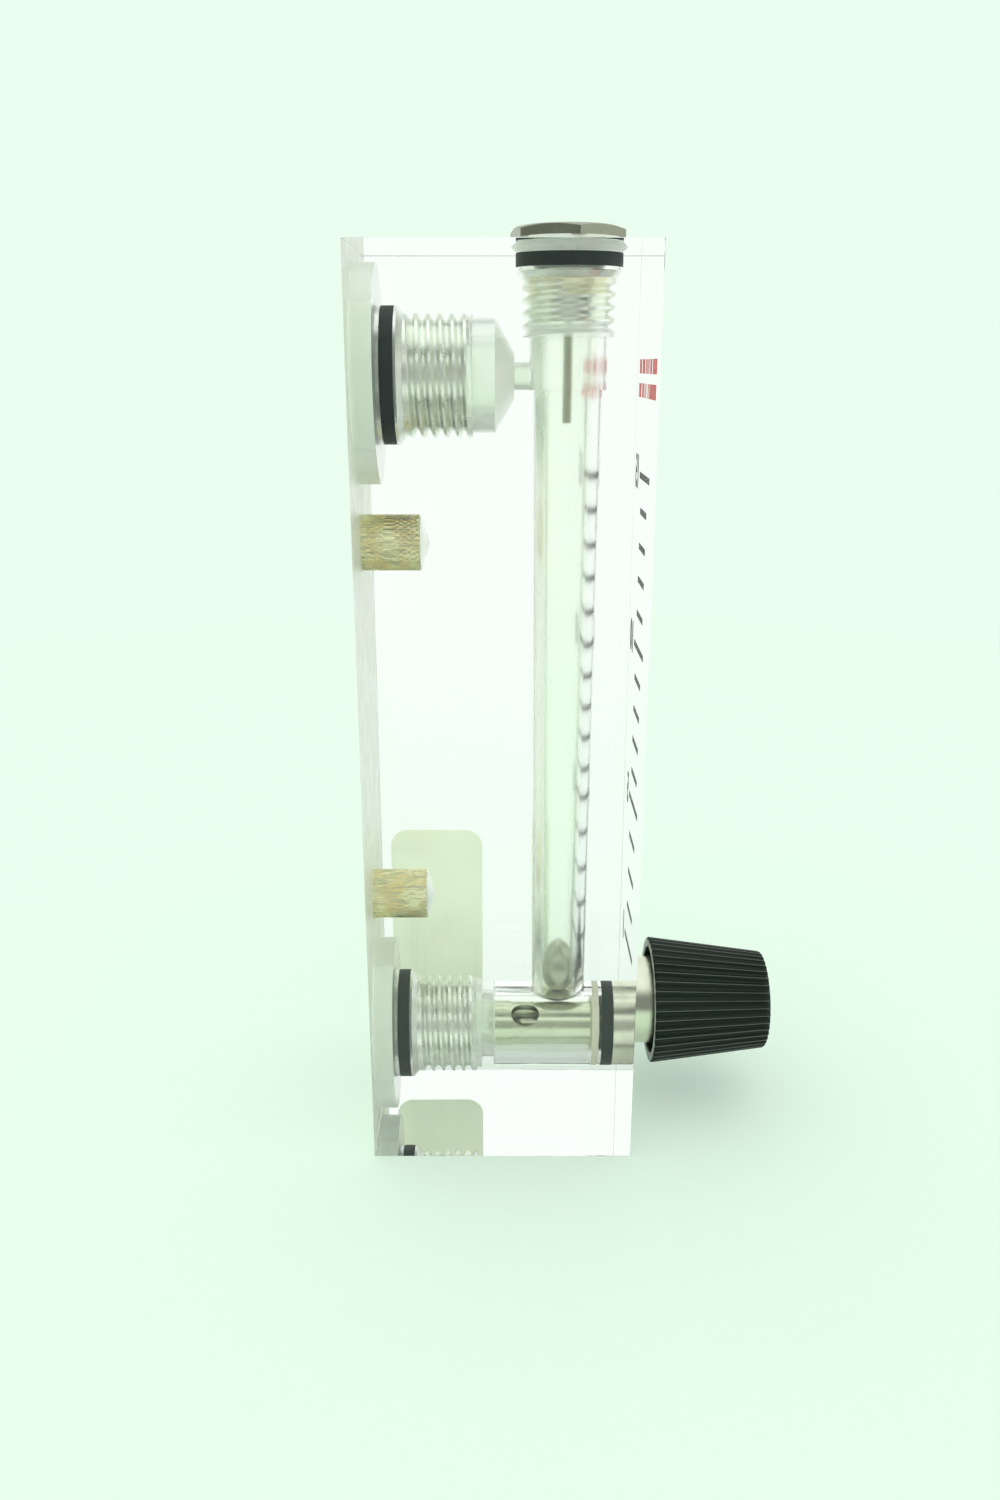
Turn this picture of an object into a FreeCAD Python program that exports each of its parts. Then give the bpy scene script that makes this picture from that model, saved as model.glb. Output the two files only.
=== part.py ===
"""Clear block flow meter (rotameter) with a needle valve, as a parametric FreeCAD document.

A clear block holds a tapered upright bore with a ball float. Flow comes in at the lower back port,
passes the needle valve at the bottom, lifts the ball in the bore and leaves at the upper back port. The
knob in front turns the needle.

Frame: the origin is the centre of the block's bottom face, +X points to the knob, +Z is up. Lengths are
millimetres. Turned pieces are drawn as half sections, radius across and distance along the axis, and
turned about that axis. Pipe and bolt threads are left plain: each hole has the thread's outer diameter
plus a fit, except the tapped mounting holes, which have their tapping diameter.
"""

import os
import re

import FreeCAD
import Part
import Sketcher

SIZES = {
    # clear block and the tapered bore
    "block_side": 34.9,
    "block_height": 115.9,
    "edge_break": 0.3,
    "bore_offset": 7.8,
    "bore_low_diameter": 7.4,
    "bore_high_diameter": 8.45,
    "ledge_depth": 15.9,
    "chamber_diameter": 9.4,
    # clearances
    "fit": 0.05,
    "slip": 0.08,
    "ring_fit": 0.01,
    # float and its stop
    "float_diameter": 7.14,
    "stop_rod_diameter": 1.59,
    "stop_rod_end_depth": 19.8,
    "stop_rod_depth": 4.0,
    # top plug
    "plug_flats": 12.7,
    "plug_head_height": 1.5,
    "plug_head_turn": 12.3,
    "plug_bevel_diameter": 12.2,
    "plug_bevel_slope": 0.36,
    "plug_washer_height": 1.2,
    "plug_washer_diameter": 13.2,
    "plug_gland_diameter": 12.5,
    "plug_gland_depth": 2.0,
    "plug_ring_section": 1.8,
    "plug_thread": 11.1,
    "plug_length": 8.5,
    "plug_thread_depth": 9.9,
    "plug_cone_length": 1.3,
    "plug_tip_bevel": 0.8,
    # ports in the back, the same distance from both ends of the block
    "port_height": 14.3,
    "flange_diameter": 25.4,
    "flange_depth": 2.65,
    "port_gland_diameter": 15.9,
    "port_gland_depth": 2.4,
    "port_ring_section": 1.78,
    "port_thread": 14.3,
    "port_thread_end": 13.9,
    "port_cone_length": 0.7,
    "port_drill": 13.1,
    "outlet_drill_end": 16.55,
    "inlet_drill_end": 14.6,
    "drill_slope": 0.6,
    "drill_flat": 5.4,
    "passage_diameter": 3.2,
    "fitting_length": 13.5,
    "pipe_drill": 8.7,
    "pipe_depth": 10.0,
    "pipe_throat": 6.35,
    "mouth_chamfer": 0.6,
    "spanner_circle": 19.0,
    "spanner_hole": 2.6,
    "spanner_depth": 1.8,
    # tapped mounting inserts in the back, the same distance from both ends of the block
    "insert_height": 34.15,
    "insert_diameter": 7.0,
    "insert_length": 7.2,
    "insert_hole_depth": 7.8,
    "insert_tapping": 4.1,
    "insert_groove": 0.35,
    "insert_groove_width": 0.8,
    # valve bore, barrel and seat, with distances behind the block's front face
    "valve_bore": 12.5,
    "valve_bore_depth": 18.65,
    "barrel_diameter": 9.53,
    "barrel_inside": 6.5,
    "barrel_back": 19.35,
    "barrel_front": 5.05,
    "collar_diameter": 9.9,
    "collar_length": 3.1,
    "cross_hole": 3.9,
    "cross_hole_depth": 14.25,
    "seat_length": 2.4,
    "seat_bevel": 0.6,
    "orifice": 2.6,
    # bonnet with its rings
    "bonnet_diameter": 12.4,
    "bonnet_reach": 6.05,
    "bonnet_chamfer": 0.3,
    "bonnet_gland_front": 2.05,
    "bonnet_ring_section": 1.75,
    "backup_ring_width": 0.95,
    "nose_length": 3.4,
    "stem_gland_bore": 6.2,
    "stem_gland_length": 8.3,
    "clip_groove": 7.2,
    "clip_width": 0.6,
    "clip_setback": 0.7,
    "clip_bore": 5.2,
    "clip_gap": 2.0,
    # stem, with the needle's tip behind the block's front face
    "stem_thread": 4.76,
    "piston_length": 2.6,
    "piston_setback": 3.9,
    "piston_groove_width": 1.7,
    "stem_ring_section": 1.45,
    "needle_reach": 18.83,
    "needle_length": 4.1,
    "needle_tip": 1.0,
    "needle_waist": 3.2,
    "waist_length": 4.4,
    # knob, with the gap between its rim and the block
    "knob_gap": 3.95,
    "knob_length": 16.6,
    "knob_rim_diameter": 18.1,
    "knob_tip_diameter": 13.8,
    "knob_cavity": 15.2,
    "knob_cavity_depth": 5.5,
    "knob_tip_chamfer": 0.5,
    "rib_depth": 0.45,
    "rib_groove_width": 1.0,
    "bush_diameter": 8.0,
    "bush_length": 9.2,
    "screw_place": 4.1,
    "screw_diameter": 3.0,
    "screw_length": 3.2,
    "screw_socket": 1.5,
    "screw_socket_depth": 1.2,
    # label on the far side
    "label_width": 13.2,
    "label_height": 33.7,
    "label_corner": 2.5,
    "label_thickness": 0.1,
    "label_left": 1.35,
    "label_low": 5.2,
}
RIB_COUNT = 40
SPANNER_HOLE_COUNT = 2
HEXAGON_CORNERS = 6
ALONG = 0.9
CROSS_HOLE_TILT = 38.0
RIGHT_ANGLE = 90.0
HALF_TURN = 180.0
FULL_TURN = 360.0
X_AXIS = FreeCAD.Vector(1, 0, 0)
Y_AXIS = FreeCAD.Vector(0, 1, 0)
Z_AXIS = FreeCAD.Vector(0, 0, 1)

doc = FreeCAD.newDocument("FlowMeter")


def make_sheet():
    """The sheet of sizes: a name, its value and its alias in each row."""
    sheet = doc.addObject("Spreadsheet::Sheet", "Sizes")
    for row, (name, value) in enumerate(SIZES.items(), start=1):
        sheet.set(f"A{row}", name)
        sheet.set(f"B{row}", str(value))
        sheet.setAlias(f"B{row}", name)
    doc.recompute()
    return sheet


def sized(text):
    """The text as an expression in which each size's name reads its cell."""
    return re.sub(r"[a-z_]+", lambda word: "Sizes." * (word.group() in SIZES) + word.group(), text)


def value_of(thing, text):
    """What an expression comes to, as a number."""
    return float(thing.evalExpression(sized(text)))


def bind(thing, **expressions):
    """Ties properties of a feature to the sheet."""
    for name, text in expressions.items():
        thing.setExpression(name.replace("__", "."), sized(text))


def origin_plane(body, role):
    """One of a body's own origin planes."""
    return next(item for item in body.Origin.OriginFeatures if item.Role == role)


def new_body(label, along=None, turn=0.0, **place):
    """An empty body with its label, turned about an axis and placed by expressions for x, y and z."""
    body = doc.addObject("PartDesign::Body", label)
    body.Label = label
    if along is not None:
        body.Placement = FreeCAD.Placement(FreeCAD.Vector(), FreeCAD.Rotation(along, turn))
    for axis, text in place.items():
        body.setExpression(f"Placement.Base.{axis}", sized(text))
    return body


def new_sketch(body, role="XZ_Plane", turn=0.0, about=Z_AXIS, **offset):
    """A sketch on an origin plane of its body, moved in that plane, then turned about one of its axes."""
    sketch = body.newObject("Sketcher::SketchObject", "Sketch")
    sketch.AttachmentSupport = (origin_plane(body, role), [""])
    sketch.MapMode = "FlatFace"
    sketch.AttachmentOffset = FreeCAD.Placement(FreeCAD.Vector(), FreeCAD.Rotation(about, turn))
    for axis, text in offset.items():
        sketch.setExpression(f"AttachmentOffset.Base.{axis}", sized(text))
    return sketch


def hold(sketch, kind, place, text):
    """Ties one coordinate of a point to the sheet, or puts the point on the axis where it is zero."""
    if text == "0":
        axis = -2 if kind == "DistanceX" else -1
        sketch.addConstraint(Sketcher.Constraint("PointOnObject", *place, axis))
        return
    value = value_of(sketch, text)
    index = sketch.addConstraint(Sketcher.Constraint(kind, -1, 1, *place, value))
    sketch.setExpression(f"Constraints[{index}]", sized(text))


def draw_outline(sketch, corners):
    """A closed outline of straight edges, with every corner held by the sheet."""
    ends = [FreeCAD.Vector(*(value_of(sketch, text) for text in corner), 0) for corner in corners]
    count = len(corners)
    for index, start in enumerate(ends):
        sketch.addGeometry(Part.LineSegment(start, ends[(index + 1) % count]), False)
    for index, (across, along) in enumerate(corners):
        sketch.addConstraint(Sketcher.Constraint("Coincident", index, 2, (index + 1) % count, 1))
        hold(sketch, "DistanceX", (index, 1), across)
        hold(sketch, "DistanceY", (index, 1), along)


def draw_circle(sketch, diameter, across="0", along="0"):
    """A circle whose centre and diameter are held by the sheet."""
    centre = FreeCAD.Vector(value_of(sketch, across), value_of(sketch, along), 0)
    radius = value_of(sketch, diameter) / 2
    edge = sketch.addGeometry(Part.Circle(centre, Z_AXIS, radius), False)
    hold(sketch, "DistanceX", (edge, 3), across)
    hold(sketch, "DistanceY", (edge, 3), along)
    index = sketch.addConstraint(Sketcher.Constraint("Diameter", edge, 2 * radius))
    sketch.setExpression(f"Constraints[{index}]", sized(diameter))


def turn_section(body, kind, corners, **sketch_place):
    """Adds or cuts the solid that a half section sweeps about its own upright axis."""
    sketch = new_sketch(body, **sketch_place)
    draw_outline(sketch, corners)
    feature = body.newObject(f"PartDesign::{kind}", kind)
    feature.Profile = sketch
    feature.ReferenceAxis = (sketch, ["V_Axis"])
    feature.Angle = FULL_TURN
    return feature


def cut_hole(body, diameter, depth, middle=False, far_side=False, across="0", along="0", **sketch_place):
    """A round hole from a sketch, behind it or on its far side, or with middle half of it each way."""
    sketch = new_sketch(body, **sketch_place)
    draw_circle(sketch, diameter, across, along)
    pocket = body.newObject("PartDesign::Pocket", "Hole")
    pocket.Profile = sketch
    pocket.Midplane = middle
    pocket.Reversed = far_side
    bind(pocket, Length=depth)
    return pocket


def pad(body, sketch, length, far_side=False):
    """The solid that a sketch makes over a length, in front of it or on its far side."""
    feature = body.newObject("PartDesign::Pad", "Pad")
    feature.Profile = sketch
    feature.Reversed = far_side
    bind(feature, Length=length)
    return feature


def repeat_around(body, feature, sketch, count):
    """Copies of a feature spread evenly about a sketch's normal."""
    pattern = body.newObject("PartDesign::PolarPattern", "Around")
    pattern.Originals = [feature]
    pattern.Axis = (sketch, ["N_Axis"])
    pattern.Angle = FULL_TURN
    pattern.Occurrences = count
    body.Tip = pattern
    return pattern


def sealing_ring(label, outside, section, gap="ring_fit", **place):
    """A round sealing ring whose outside just clears a bore, with its middle plane at its own origin."""
    body = new_body(label, **place)
    torus = body.newObject("PartDesign::AdditiveTorus", "Torus")
    bind(torus, Radius1=f"{outside} / 2 - {gap} - {section} / 2", Radius2=f"{section} / 2")
    return body


def port_section(drill_end):
    """Half section of a stepped back port: flange seat, ring gland, lead-in cone, thread and drilled end."""
    gland_end = "flange_depth + port_gland_depth"
    return [
        ("0", "0"),
        ("flange_diameter / 2", "0"),
        ("flange_diameter / 2", "flange_depth"),
        ("port_gland_diameter / 2", "flange_depth"),
        ("port_gland_diameter / 2", gland_end),
        ("port_thread / 2", f"{gland_end} + port_cone_length"),
        ("port_thread / 2", "port_thread_end"),
        ("port_drill / 2", "port_thread_end"),
        ("port_drill / 2", drill_end),
    ]


def make_block():
    """The clear block with its edges broken, and every hole in it."""
    block = new_body("body_block")
    base = new_sketch(block, "XY_Plane", x="-block_side / 2", y="-block_side / 2")
    draw_outline(base, [("0", "0"), ("block_side", "0"), ("block_side", "block_side"), ("0", "block_side")])
    solid = pad(block, base, "block_height")
    doc.recompute()
    chamfer = block.newObject("PartDesign::Chamfer", "EdgeBreak")
    chamfer.Base = (solid, [f"Edge{number}" for number in range(1, len(solid.Shape.Edges) + 1)])
    bind(chamfer, Size="edge_break")
    cut_valve_bore(block)
    cut_ports(block)
    cut_flow_path(block)
    cut_insert_holes(block)


def cut_valve_bore(block):
    """The bore for the valve from the front, with a smaller land at its end for the barrel's collar."""
    bore = [
        ("0", "0"),
        ("valve_bore / 2", "0"),
        ("valve_bore / 2", "valve_bore_depth"),
        ("collar_diameter / 2 + fit", "valve_bore_depth"),
        ("collar_diameter / 2 + fit", "block_side - port_thread_end"),
        ("0", "block_side - port_thread_end"),
    ]
    turn_section(block, "Groove", bore, turn=RIGHT_ANGLE, x="block_side / 2", y="port_height")


def cut_ports(block):
    """The inlet port, which opens into the valve bore, and the outlet port with its point and passage."""
    inlet = port_section("inlet_drill_end") + [("0", "inlet_drill_end")]
    point_end = "outlet_drill_end + (port_drill - drill_flat) / 2 * drill_slope"
    outlet = port_section("outlet_drill_end") + [
        ("drill_flat / 2", point_end),
        ("passage_diameter / 2", point_end),
        ("passage_diameter / 2", "block_side / 2 + bore_offset"),
        ("0", "block_side / 2 + bore_offset"),
    ]
    for section, height in ((inlet, "port_height"), (outlet, "block_height - port_height")):
        turn_section(block, "Groove", section, turn=-RIGHT_ANGLE, x="-block_side / 2", y=height)


def cut_flow_path(block):
    """The plug's stepped hole from the top, and below its ledge the tapered bore down to the valve."""
    path = [
        ("0", "0"),
        ("plug_gland_diameter / 2", "0"),
        ("plug_gland_diameter / 2", "plug_gland_depth"),
        ("plug_thread / 2", "plug_gland_depth + plug_cone_length"),
        ("plug_thread / 2", "plug_thread_depth"),
        ("chamber_diameter / 2", "plug_thread_depth"),
        ("chamber_diameter / 2", "ledge_depth"),
        ("bore_high_diameter / 2", "ledge_depth"),
        ("bore_low_diameter / 2", "block_height - port_height - valve_bore / 2"),
        ("bore_low_diameter / 2", "block_height - port_height"),
        ("0", "block_height - port_height"),
    ]
    turn_section(block, "Groove", path, turn=HALF_TURN, x="bore_offset", y="block_height")


def cut_insert_holes(block):
    """The two flat-bottomed holes that take the mounting inserts."""
    hole = [
        ("0", "0"),
        ("insert_diameter / 2 + fit", "0"),
        ("insert_diameter / 2 + fit", "insert_hole_depth"),
        ("0", "insert_hole_depth"),
    ]
    for height in ("insert_height", "block_height - insert_height"):
        turn_section(block, "Groove", hole, turn=-RIGHT_ANGLE, x="-block_side / 2", y=height)


def make_top_plug():
    """The hexagon plug: its origin is where its head meets the block's top."""
    plug = new_body("top_plug", x="bore_offset", z="block_height")
    neck = "plug_gland_diameter / 2 - plug_ring_section - 2 * ring_fit"
    thread = "plug_thread / 2 - fit"
    rod = "stop_rod_diameter / 2 + ring_fit"
    shank = [
        (rod, "-plug_length"),
        (f"{thread} - plug_tip_bevel", "-plug_length"),
        (thread, "plug_tip_bevel - plug_length"),
        (thread, "-(plug_gland_depth + plug_cone_length)"),
        (neck, "-plug_gland_depth"),
        (neck, "0"),
        ("plug_washer_diameter / 2", "0"),
        ("plug_washer_diameter / 2", "plug_washer_height"),
        ("0", "plug_washer_height"),
        ("0", "stop_rod_depth - plug_length"),
        (rod, "stop_rod_depth - plug_length"),
    ]
    turn_section(plug, "Revolution", shank)
    face = new_sketch(plug, "XY_Plane", z="plug_washer_height")
    draw_outline(face, [plug_corner(index) for index in range(HEXAGON_CORNERS)])
    pad(plug, face, "plug_head_height")
    top = "plug_washer_height + plug_head_height"
    bevel = [
        ("plug_bevel_diameter / 2", top),
        ("plug_flats", f"{top} - (plug_flats - plug_bevel_diameter / 2) * plug_bevel_slope"),
        ("plug_flats", top),
    ]
    turn_section(plug, "Groove", bevel)


def plug_corner(index):
    """One corner of the plug's hexagon, turned by the angle that the head was tightened to."""
    angle = f"((plug_head_turn + {FULL_TURN / HEXAGON_CORNERS * index - RIGHT_ANGLE}) * 1 deg)"
    return f"plug_flats / sqrt(3) * cos{angle}", f"plug_flats / sqrt(3) * sin{angle}"


def make_stop_rod():
    """The rod pressed into the plug, which stops the float at the top of its travel."""
    rod = new_body("float_stop_rod", x="bore_offset", z="block_height - stop_rod_end_depth")
    length = "stop_rod_end_depth - plug_length + stop_rod_depth - fit"
    half = "stop_rod_diameter / 2"
    turn_section(rod, "Revolution", [("0", "0"), (half, "0"), (half, length), ("0", length)])


def make_float():
    """The ball, resting on the valve barrel."""
    rest = "port_height + barrel_diameter / 2 + fit + float_diameter / 2"
    ball = new_body("float_ball", x="bore_offset", z=rest)
    sphere = ball.newObject("PartDesign::AdditiveSphere", "Ball")
    bind(sphere, Radius="float_diameter / 2")


def make_fitting(label, height):
    """A flanged port fitting with a pipe thread inside, from the flange's outer face, with +Z inwards."""
    fitting = new_body(label, Y_AXIS, RIGHT_ANGLE, x="-block_side / 2", z=height)
    gland_end = "flange_depth + port_gland_depth"
    neck = "port_gland_diameter / 2 - port_ring_section - 2 * ring_fit"
    thread = "port_thread / 2 - fit"
    section = [
        ("pipe_drill / 2 + mouth_chamfer", "0"),
        ("flange_diameter / 2 - fit", "0"),
        ("flange_diameter / 2 - fit", "flange_depth - ring_fit"),
        (neck, "flange_depth - ring_fit"),
        (neck, gland_end),
        (thread, f"{gland_end} + port_cone_length + fit"),
        (thread, "fitting_length - port_cone_length"),
        (f"{thread} - port_cone_length", "fitting_length"),
        ("pipe_throat / 2", "fitting_length"),
        ("pipe_throat / 2", "pipe_depth"),
        ("pipe_drill / 2", "pipe_depth"),
        ("pipe_drill / 2", "mouth_chamfer"),
    ]
    turn_section(fitting, "Revolution", section)
    spanner = {"role": "XY_Plane", "far_side": True, "along": "spanner_circle / 2"}
    hole = cut_hole(fitting, "spanner_hole", "spanner_depth", **spanner)
    repeat_around(fitting, hole, hole.Profile[0], SPANNER_HOLE_COUNT)


def make_insert(label, height):
    """A tapped insert with a waist groove: its origin is its outer face, with +Z inwards."""
    insert = new_body(label, Y_AXIS, RIGHT_ANGLE, x="-block_side / 2", z=height)
    bore = "insert_tapping / 2"
    half = "insert_diameter / 2"
    waist = f"{half} - insert_groove"
    low = "(insert_length - insert_groove_width) / 2"
    high = "(insert_length + insert_groove_width) / 2"
    section = [
        (f"{bore} + insert_groove", "0"),
        (half, "0"),
        (half, low),
        (waist, low),
        (waist, high),
        (half, high),
        (half, "insert_length"),
        (bore, "insert_length"),
        (bore, "insert_groove"),
    ]
    turn_section(insert, "Revolution", section)


def on_valve(label):
    """A body on the valve's axis: its origin is on the block's front face, with +Z towards the knob."""
    return new_body(label, Y_AXIS, RIGHT_ANGLE, x="block_side / 2", z="port_height")


def make_barrel():
    """The valve's sleeve, with a collar at its seat end and a hole across it beside the tapered bore."""
    barrel = on_valve("valve_barrel")
    section = [
        ("barrel_inside / 2", "-barrel_front"),
        ("barrel_diameter / 2", "-barrel_front"),
        ("barrel_diameter / 2", "collar_length - barrel_back"),
        ("collar_diameter / 2", "collar_length - barrel_back"),
        ("collar_diameter / 2", "-barrel_back"),
        ("barrel_inside / 2", "-barrel_back"),
    ]
    turn_section(barrel, "Revolution", section)
    across = {"middle": True, "along": "-cross_hole_depth", "turn": -CROSS_HOLE_TILT, "about": Y_AXIS}
    cut_hole(barrel, "cross_hole", "2 * barrel_diameter", **across)


def make_seat():
    """The seat pressed into the barrel's end, with an orifice that opens towards the needle."""
    seat = on_valve("valve_seat")
    outside = "barrel_inside / 2 - ring_fit"
    front = "seat_length - barrel_back"
    section = [
        ("orifice / 2", "-barrel_back"),
        (outside, "-barrel_back"),
        (outside, front),
        ("orifice / 2 + seat_bevel", front),
        ("orifice / 2", f"{front} - seat_bevel"),
    ]
    turn_section(seat, "Revolution", section)


def make_bonnet():
    """The bonnet: a nose in the barrel, a neck for its rings, and a body for the stem's gland and clip."""
    bonnet = on_valve("valve_bonnet")
    neck = "valve_bore / 2 - bonnet_ring_section - 2 * ring_fit"
    outside = "bonnet_diameter / 2"
    thread = "stem_thread / 2 + fit"
    gland = "stem_gland_bore / 2"
    clip_high = "bonnet_reach - clip_setback"
    clip_low = f"{clip_high} - clip_width - fit"
    section = [
        (thread, "-barrel_front - nose_length"),
        ("barrel_inside / 2 - fit", "-barrel_front - nose_length"),
        ("barrel_inside / 2 - fit", "ring_fit - barrel_front"),
        (neck, "ring_fit - barrel_front"),
        (neck, "-bonnet_gland_front"),
        (outside, "-bonnet_gland_front"),
        (outside, "bonnet_reach - bonnet_chamfer"),
        (f"{outside} - bonnet_chamfer", "bonnet_reach"),
        (gland, "bonnet_reach"),
        (gland, clip_high),
        ("clip_groove / 2", clip_high),
        ("clip_groove / 2", clip_low),
        (gland, clip_low),
        (gland, "bonnet_reach - stem_gland_length"),
        (thread, "bonnet_reach - stem_gland_length"),
    ]
    turn_section(bonnet, "Revolution", section)


def make_backup_ring():
    """The flat ring between the barrel's end and the bonnet's sealing ring."""
    backup = on_valve("bonnet_backup_ring")
    inside = "valve_bore / 2 - bonnet_ring_section"
    outside = "valve_bore / 2 - fit"
    low = "2 * ring_fit - barrel_front"
    high = f"{low} + backup_ring_width"
    turn_section(backup, "Revolution", [(inside, low), (outside, low), (outside, high), (inside, high)])


def make_clip():
    """The open ring in the bonnet's mouth that stops the stem from being unscrewed."""
    clip = on_valve("stem_retaining_ring")
    outside = "clip_groove / 2 - fit"
    high = "bonnet_reach - clip_setback - fit / 2"
    low = f"{high} - clip_width"
    section = [("clip_bore / 2", low), (outside, low), (outside, high), ("clip_bore / 2", high)]
    turn_section(clip, "Revolution", section)
    gap = new_sketch(clip, "XY_Plane")
    near = [("-clip_gap / 2", "0"), ("clip_gap / 2", "0")]
    far = [("clip_gap / 2", "clip_groove"), ("-clip_gap / 2", "clip_groove")]
    draw_outline(gap, near + far)
    slot = clip.newObject("PartDesign::Pocket", "Gap")
    slot.Profile = gap
    slot.Reversed = True
    bind(slot, Length="bonnet_reach")


def make_stem():
    """The stem: needle, waist, thread, a piston with its ring groove, and the shaft that carries the knob."""
    stem = on_valve("valve_stem")
    shaft = "stem_thread / 2"
    piston = "stem_gland_bore / 2 - fit"
    groove = "stem_gland_bore / 2 - stem_ring_section - 2 * slip"
    piston_front = "bonnet_reach - piston_setback"
    piston_back = f"{piston_front} - piston_length"
    groove_front = f"{piston_front} - (piston_length - piston_groove_width) / 2"
    groove_back = f"{groove_front} - piston_groove_width"
    needle_end = "needle_length - needle_reach"
    section = [
        ("0", "-needle_reach"),
        ("needle_tip / 2", "-needle_reach"),
        ("needle_waist / 2", needle_end),
        ("needle_waist / 2", f"{needle_end} + waist_length"),
        (shaft, f"{needle_end} + waist_length"),
        (shaft, piston_back),
        (piston, piston_back),
        (piston, groove_back),
        (groove, groove_back),
        (groove, groove_front),
        (piston, groove_front),
        (piston, piston_front),
        (shaft, piston_front),
        (shaft, "knob_gap + knob_cavity_depth + bush_length - bonnet_chamfer"),
        ("0", "knob_gap + knob_cavity_depth + bush_length - bonnet_chamfer"),
    ]
    turn_section(stem, "Revolution", section)


def make_knob():
    """The knob: a tapered cup round the bonnet's mouth, bored for its bush, with ribs and a screw hole."""
    knob = on_valve("knob")
    rim = "knob_gap"
    tip = "knob_gap + knob_length"
    floor = "knob_gap + knob_cavity_depth"
    taper = "(knob_rim_diameter - knob_tip_diameter) / 2 / knob_length"
    section = [
        ("0", tip),
        ("0", f"{floor} + bush_length"),
        ("bush_diameter / 2 + ring_fit", f"{floor} + bush_length"),
        ("bush_diameter / 2 + ring_fit", floor),
        ("knob_cavity / 2", floor),
        ("knob_cavity / 2", rim),
        ("knob_rim_diameter / 2", rim),
        (f"knob_tip_diameter / 2 + knob_tip_chamfer * {taper}", f"{tip} - knob_tip_chamfer"),
        ("knob_tip_diameter / 2 - knob_tip_chamfer", tip),
    ]
    turn_section(knob, "Revolution", section)
    cut_ribs(knob, rim, tip)
    place = f"{floor} + screw_place"
    cut_hole(knob, "screw_diameter + 2 * fit", "knob_rim_diameter", along=place)


def cut_ribs(knob, rim, tip):
    """Fine grooves from the rim to the tip, as deep at both ends, which leave ribs between them."""
    ends = []
    for outside, along in (("knob_rim_diameter / 2", rim), ("knob_tip_diameter / 2", tip)):
        sketch = new_sketch(knob, "XY_Plane", z=along)
        half = "rib_groove_width / 2"
        outer = f"{outside} + rib_depth / 2"
        draw_outline(sketch, [(f"-{half}", outer), ("0", f"{outside} - rib_depth"), (half, outer)])
        ends.append(sketch)
    groove = knob.newObject("PartDesign::SubtractiveLoft", "RibGroove")
    groove.Profile = ends[0]
    groove.Sections = [ends[1]]
    groove.Ruled = True
    repeat_around(knob, groove, ends[0], RIB_COUNT)


def make_bush():
    """The metal bush moulded into the knob, cross drilled for the set screw."""
    bush = on_valve("knob_bush")
    low = "knob_gap + knob_cavity_depth"
    high = f"{low} + bush_length - ring_fit"
    inside = "stem_thread / 2 + ring_fit"
    outside = "bush_diameter / 2"
    turn_section(bush, "Revolution", [(inside, low), (outside, low), (outside, high), (inside, high)])
    cut_hole(bush, "screw_diameter + 2 * ring_fit", "bush_diameter", along=f"{low} + screw_place")


def make_screw():
    """The set screw that holds the knob's bush to the stem, with a round-bottomed socket in its outer end."""
    place = {"x": "block_side / 2 + knob_gap + knob_cavity_depth + screw_place", "z": "port_height"}
    screw = new_body("knob_set_screw", X_AXIS, -RIGHT_ANGLE, y="stem_thread / 2 + ring_fit", **place)
    half = "screw_diameter / 2"
    section = [
        ("0", "0"),
        (f"{half} - edge_break", "0"),
        (half, "edge_break"),
        (half, "screw_length"),
        ("screw_socket / 2", "screw_length"),
        ("screw_socket / 2", "screw_length - screw_socket_depth"),
        ("0", "screw_length - screw_socket_depth"),
    ]
    turn_section(screw, "Revolution", section)


def make_label():
    """The blank paper label on the far side of the block, with rounded corners."""
    label = new_body("side_label", x="label_left - block_side / 2", y="block_side / 2", z="label_low")
    outline = new_sketch(label)
    low_edge = [("0", "0"), ("label_width", "0")]
    high_edge = [("label_width", "label_height"), ("0", "label_height")]
    draw_outline(outline, low_edge + high_edge)
    sheet = pad(label, outline, "label_thickness", far_side=True)
    doc.recompute()
    through = [n for n, edge in enumerate(sheet.Shape.Edges, start=1) if abs(edge.tangentAt(0).y) > ALONG]
    corners = label.newObject("PartDesign::Fillet", "Corners")
    corners.Base = (sheet, [f"Edge{number}" for number in through])
    bind(corners, Radius="label_corner")


def make_rings():
    """The sealing rings: one under each flange or head, one on the bonnet and one on the stem."""
    port = "flange_depth + port_gland_depth / 2 - block_side / 2"
    for label, height in (("inlet_o_ring", "port_height"), ("outlet_o_ring", "block_height - port_height")):
        place = {"along": Y_AXIS, "turn": RIGHT_ANGLE, "x": port, "z": height}
        sealing_ring(label, "port_gland_diameter", "port_ring_section", **place)
    plug = {"x": "bore_offset", "z": "block_height - plug_gland_depth / 2"}
    sealing_ring("top_plug_o_ring", "plug_gland_diameter", "plug_ring_section", **plug)
    bonnet = "block_side / 2 - (bonnet_gland_front + bonnet_ring_section / 2 + ring_fit)"
    on_axis = {"along": Y_AXIS, "turn": RIGHT_ANGLE, "z": "port_height"}
    sealing_ring("bonnet_o_ring", "valve_bore", "bonnet_ring_section", x=bonnet, **on_axis)
    stem = "block_side / 2 + bonnet_reach - piston_setback - piston_length / 2"
    sealing_ring("stem_o_ring", "stem_gland_bore", "stem_ring_section", gap="slip", x=stem, **on_axis)


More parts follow.
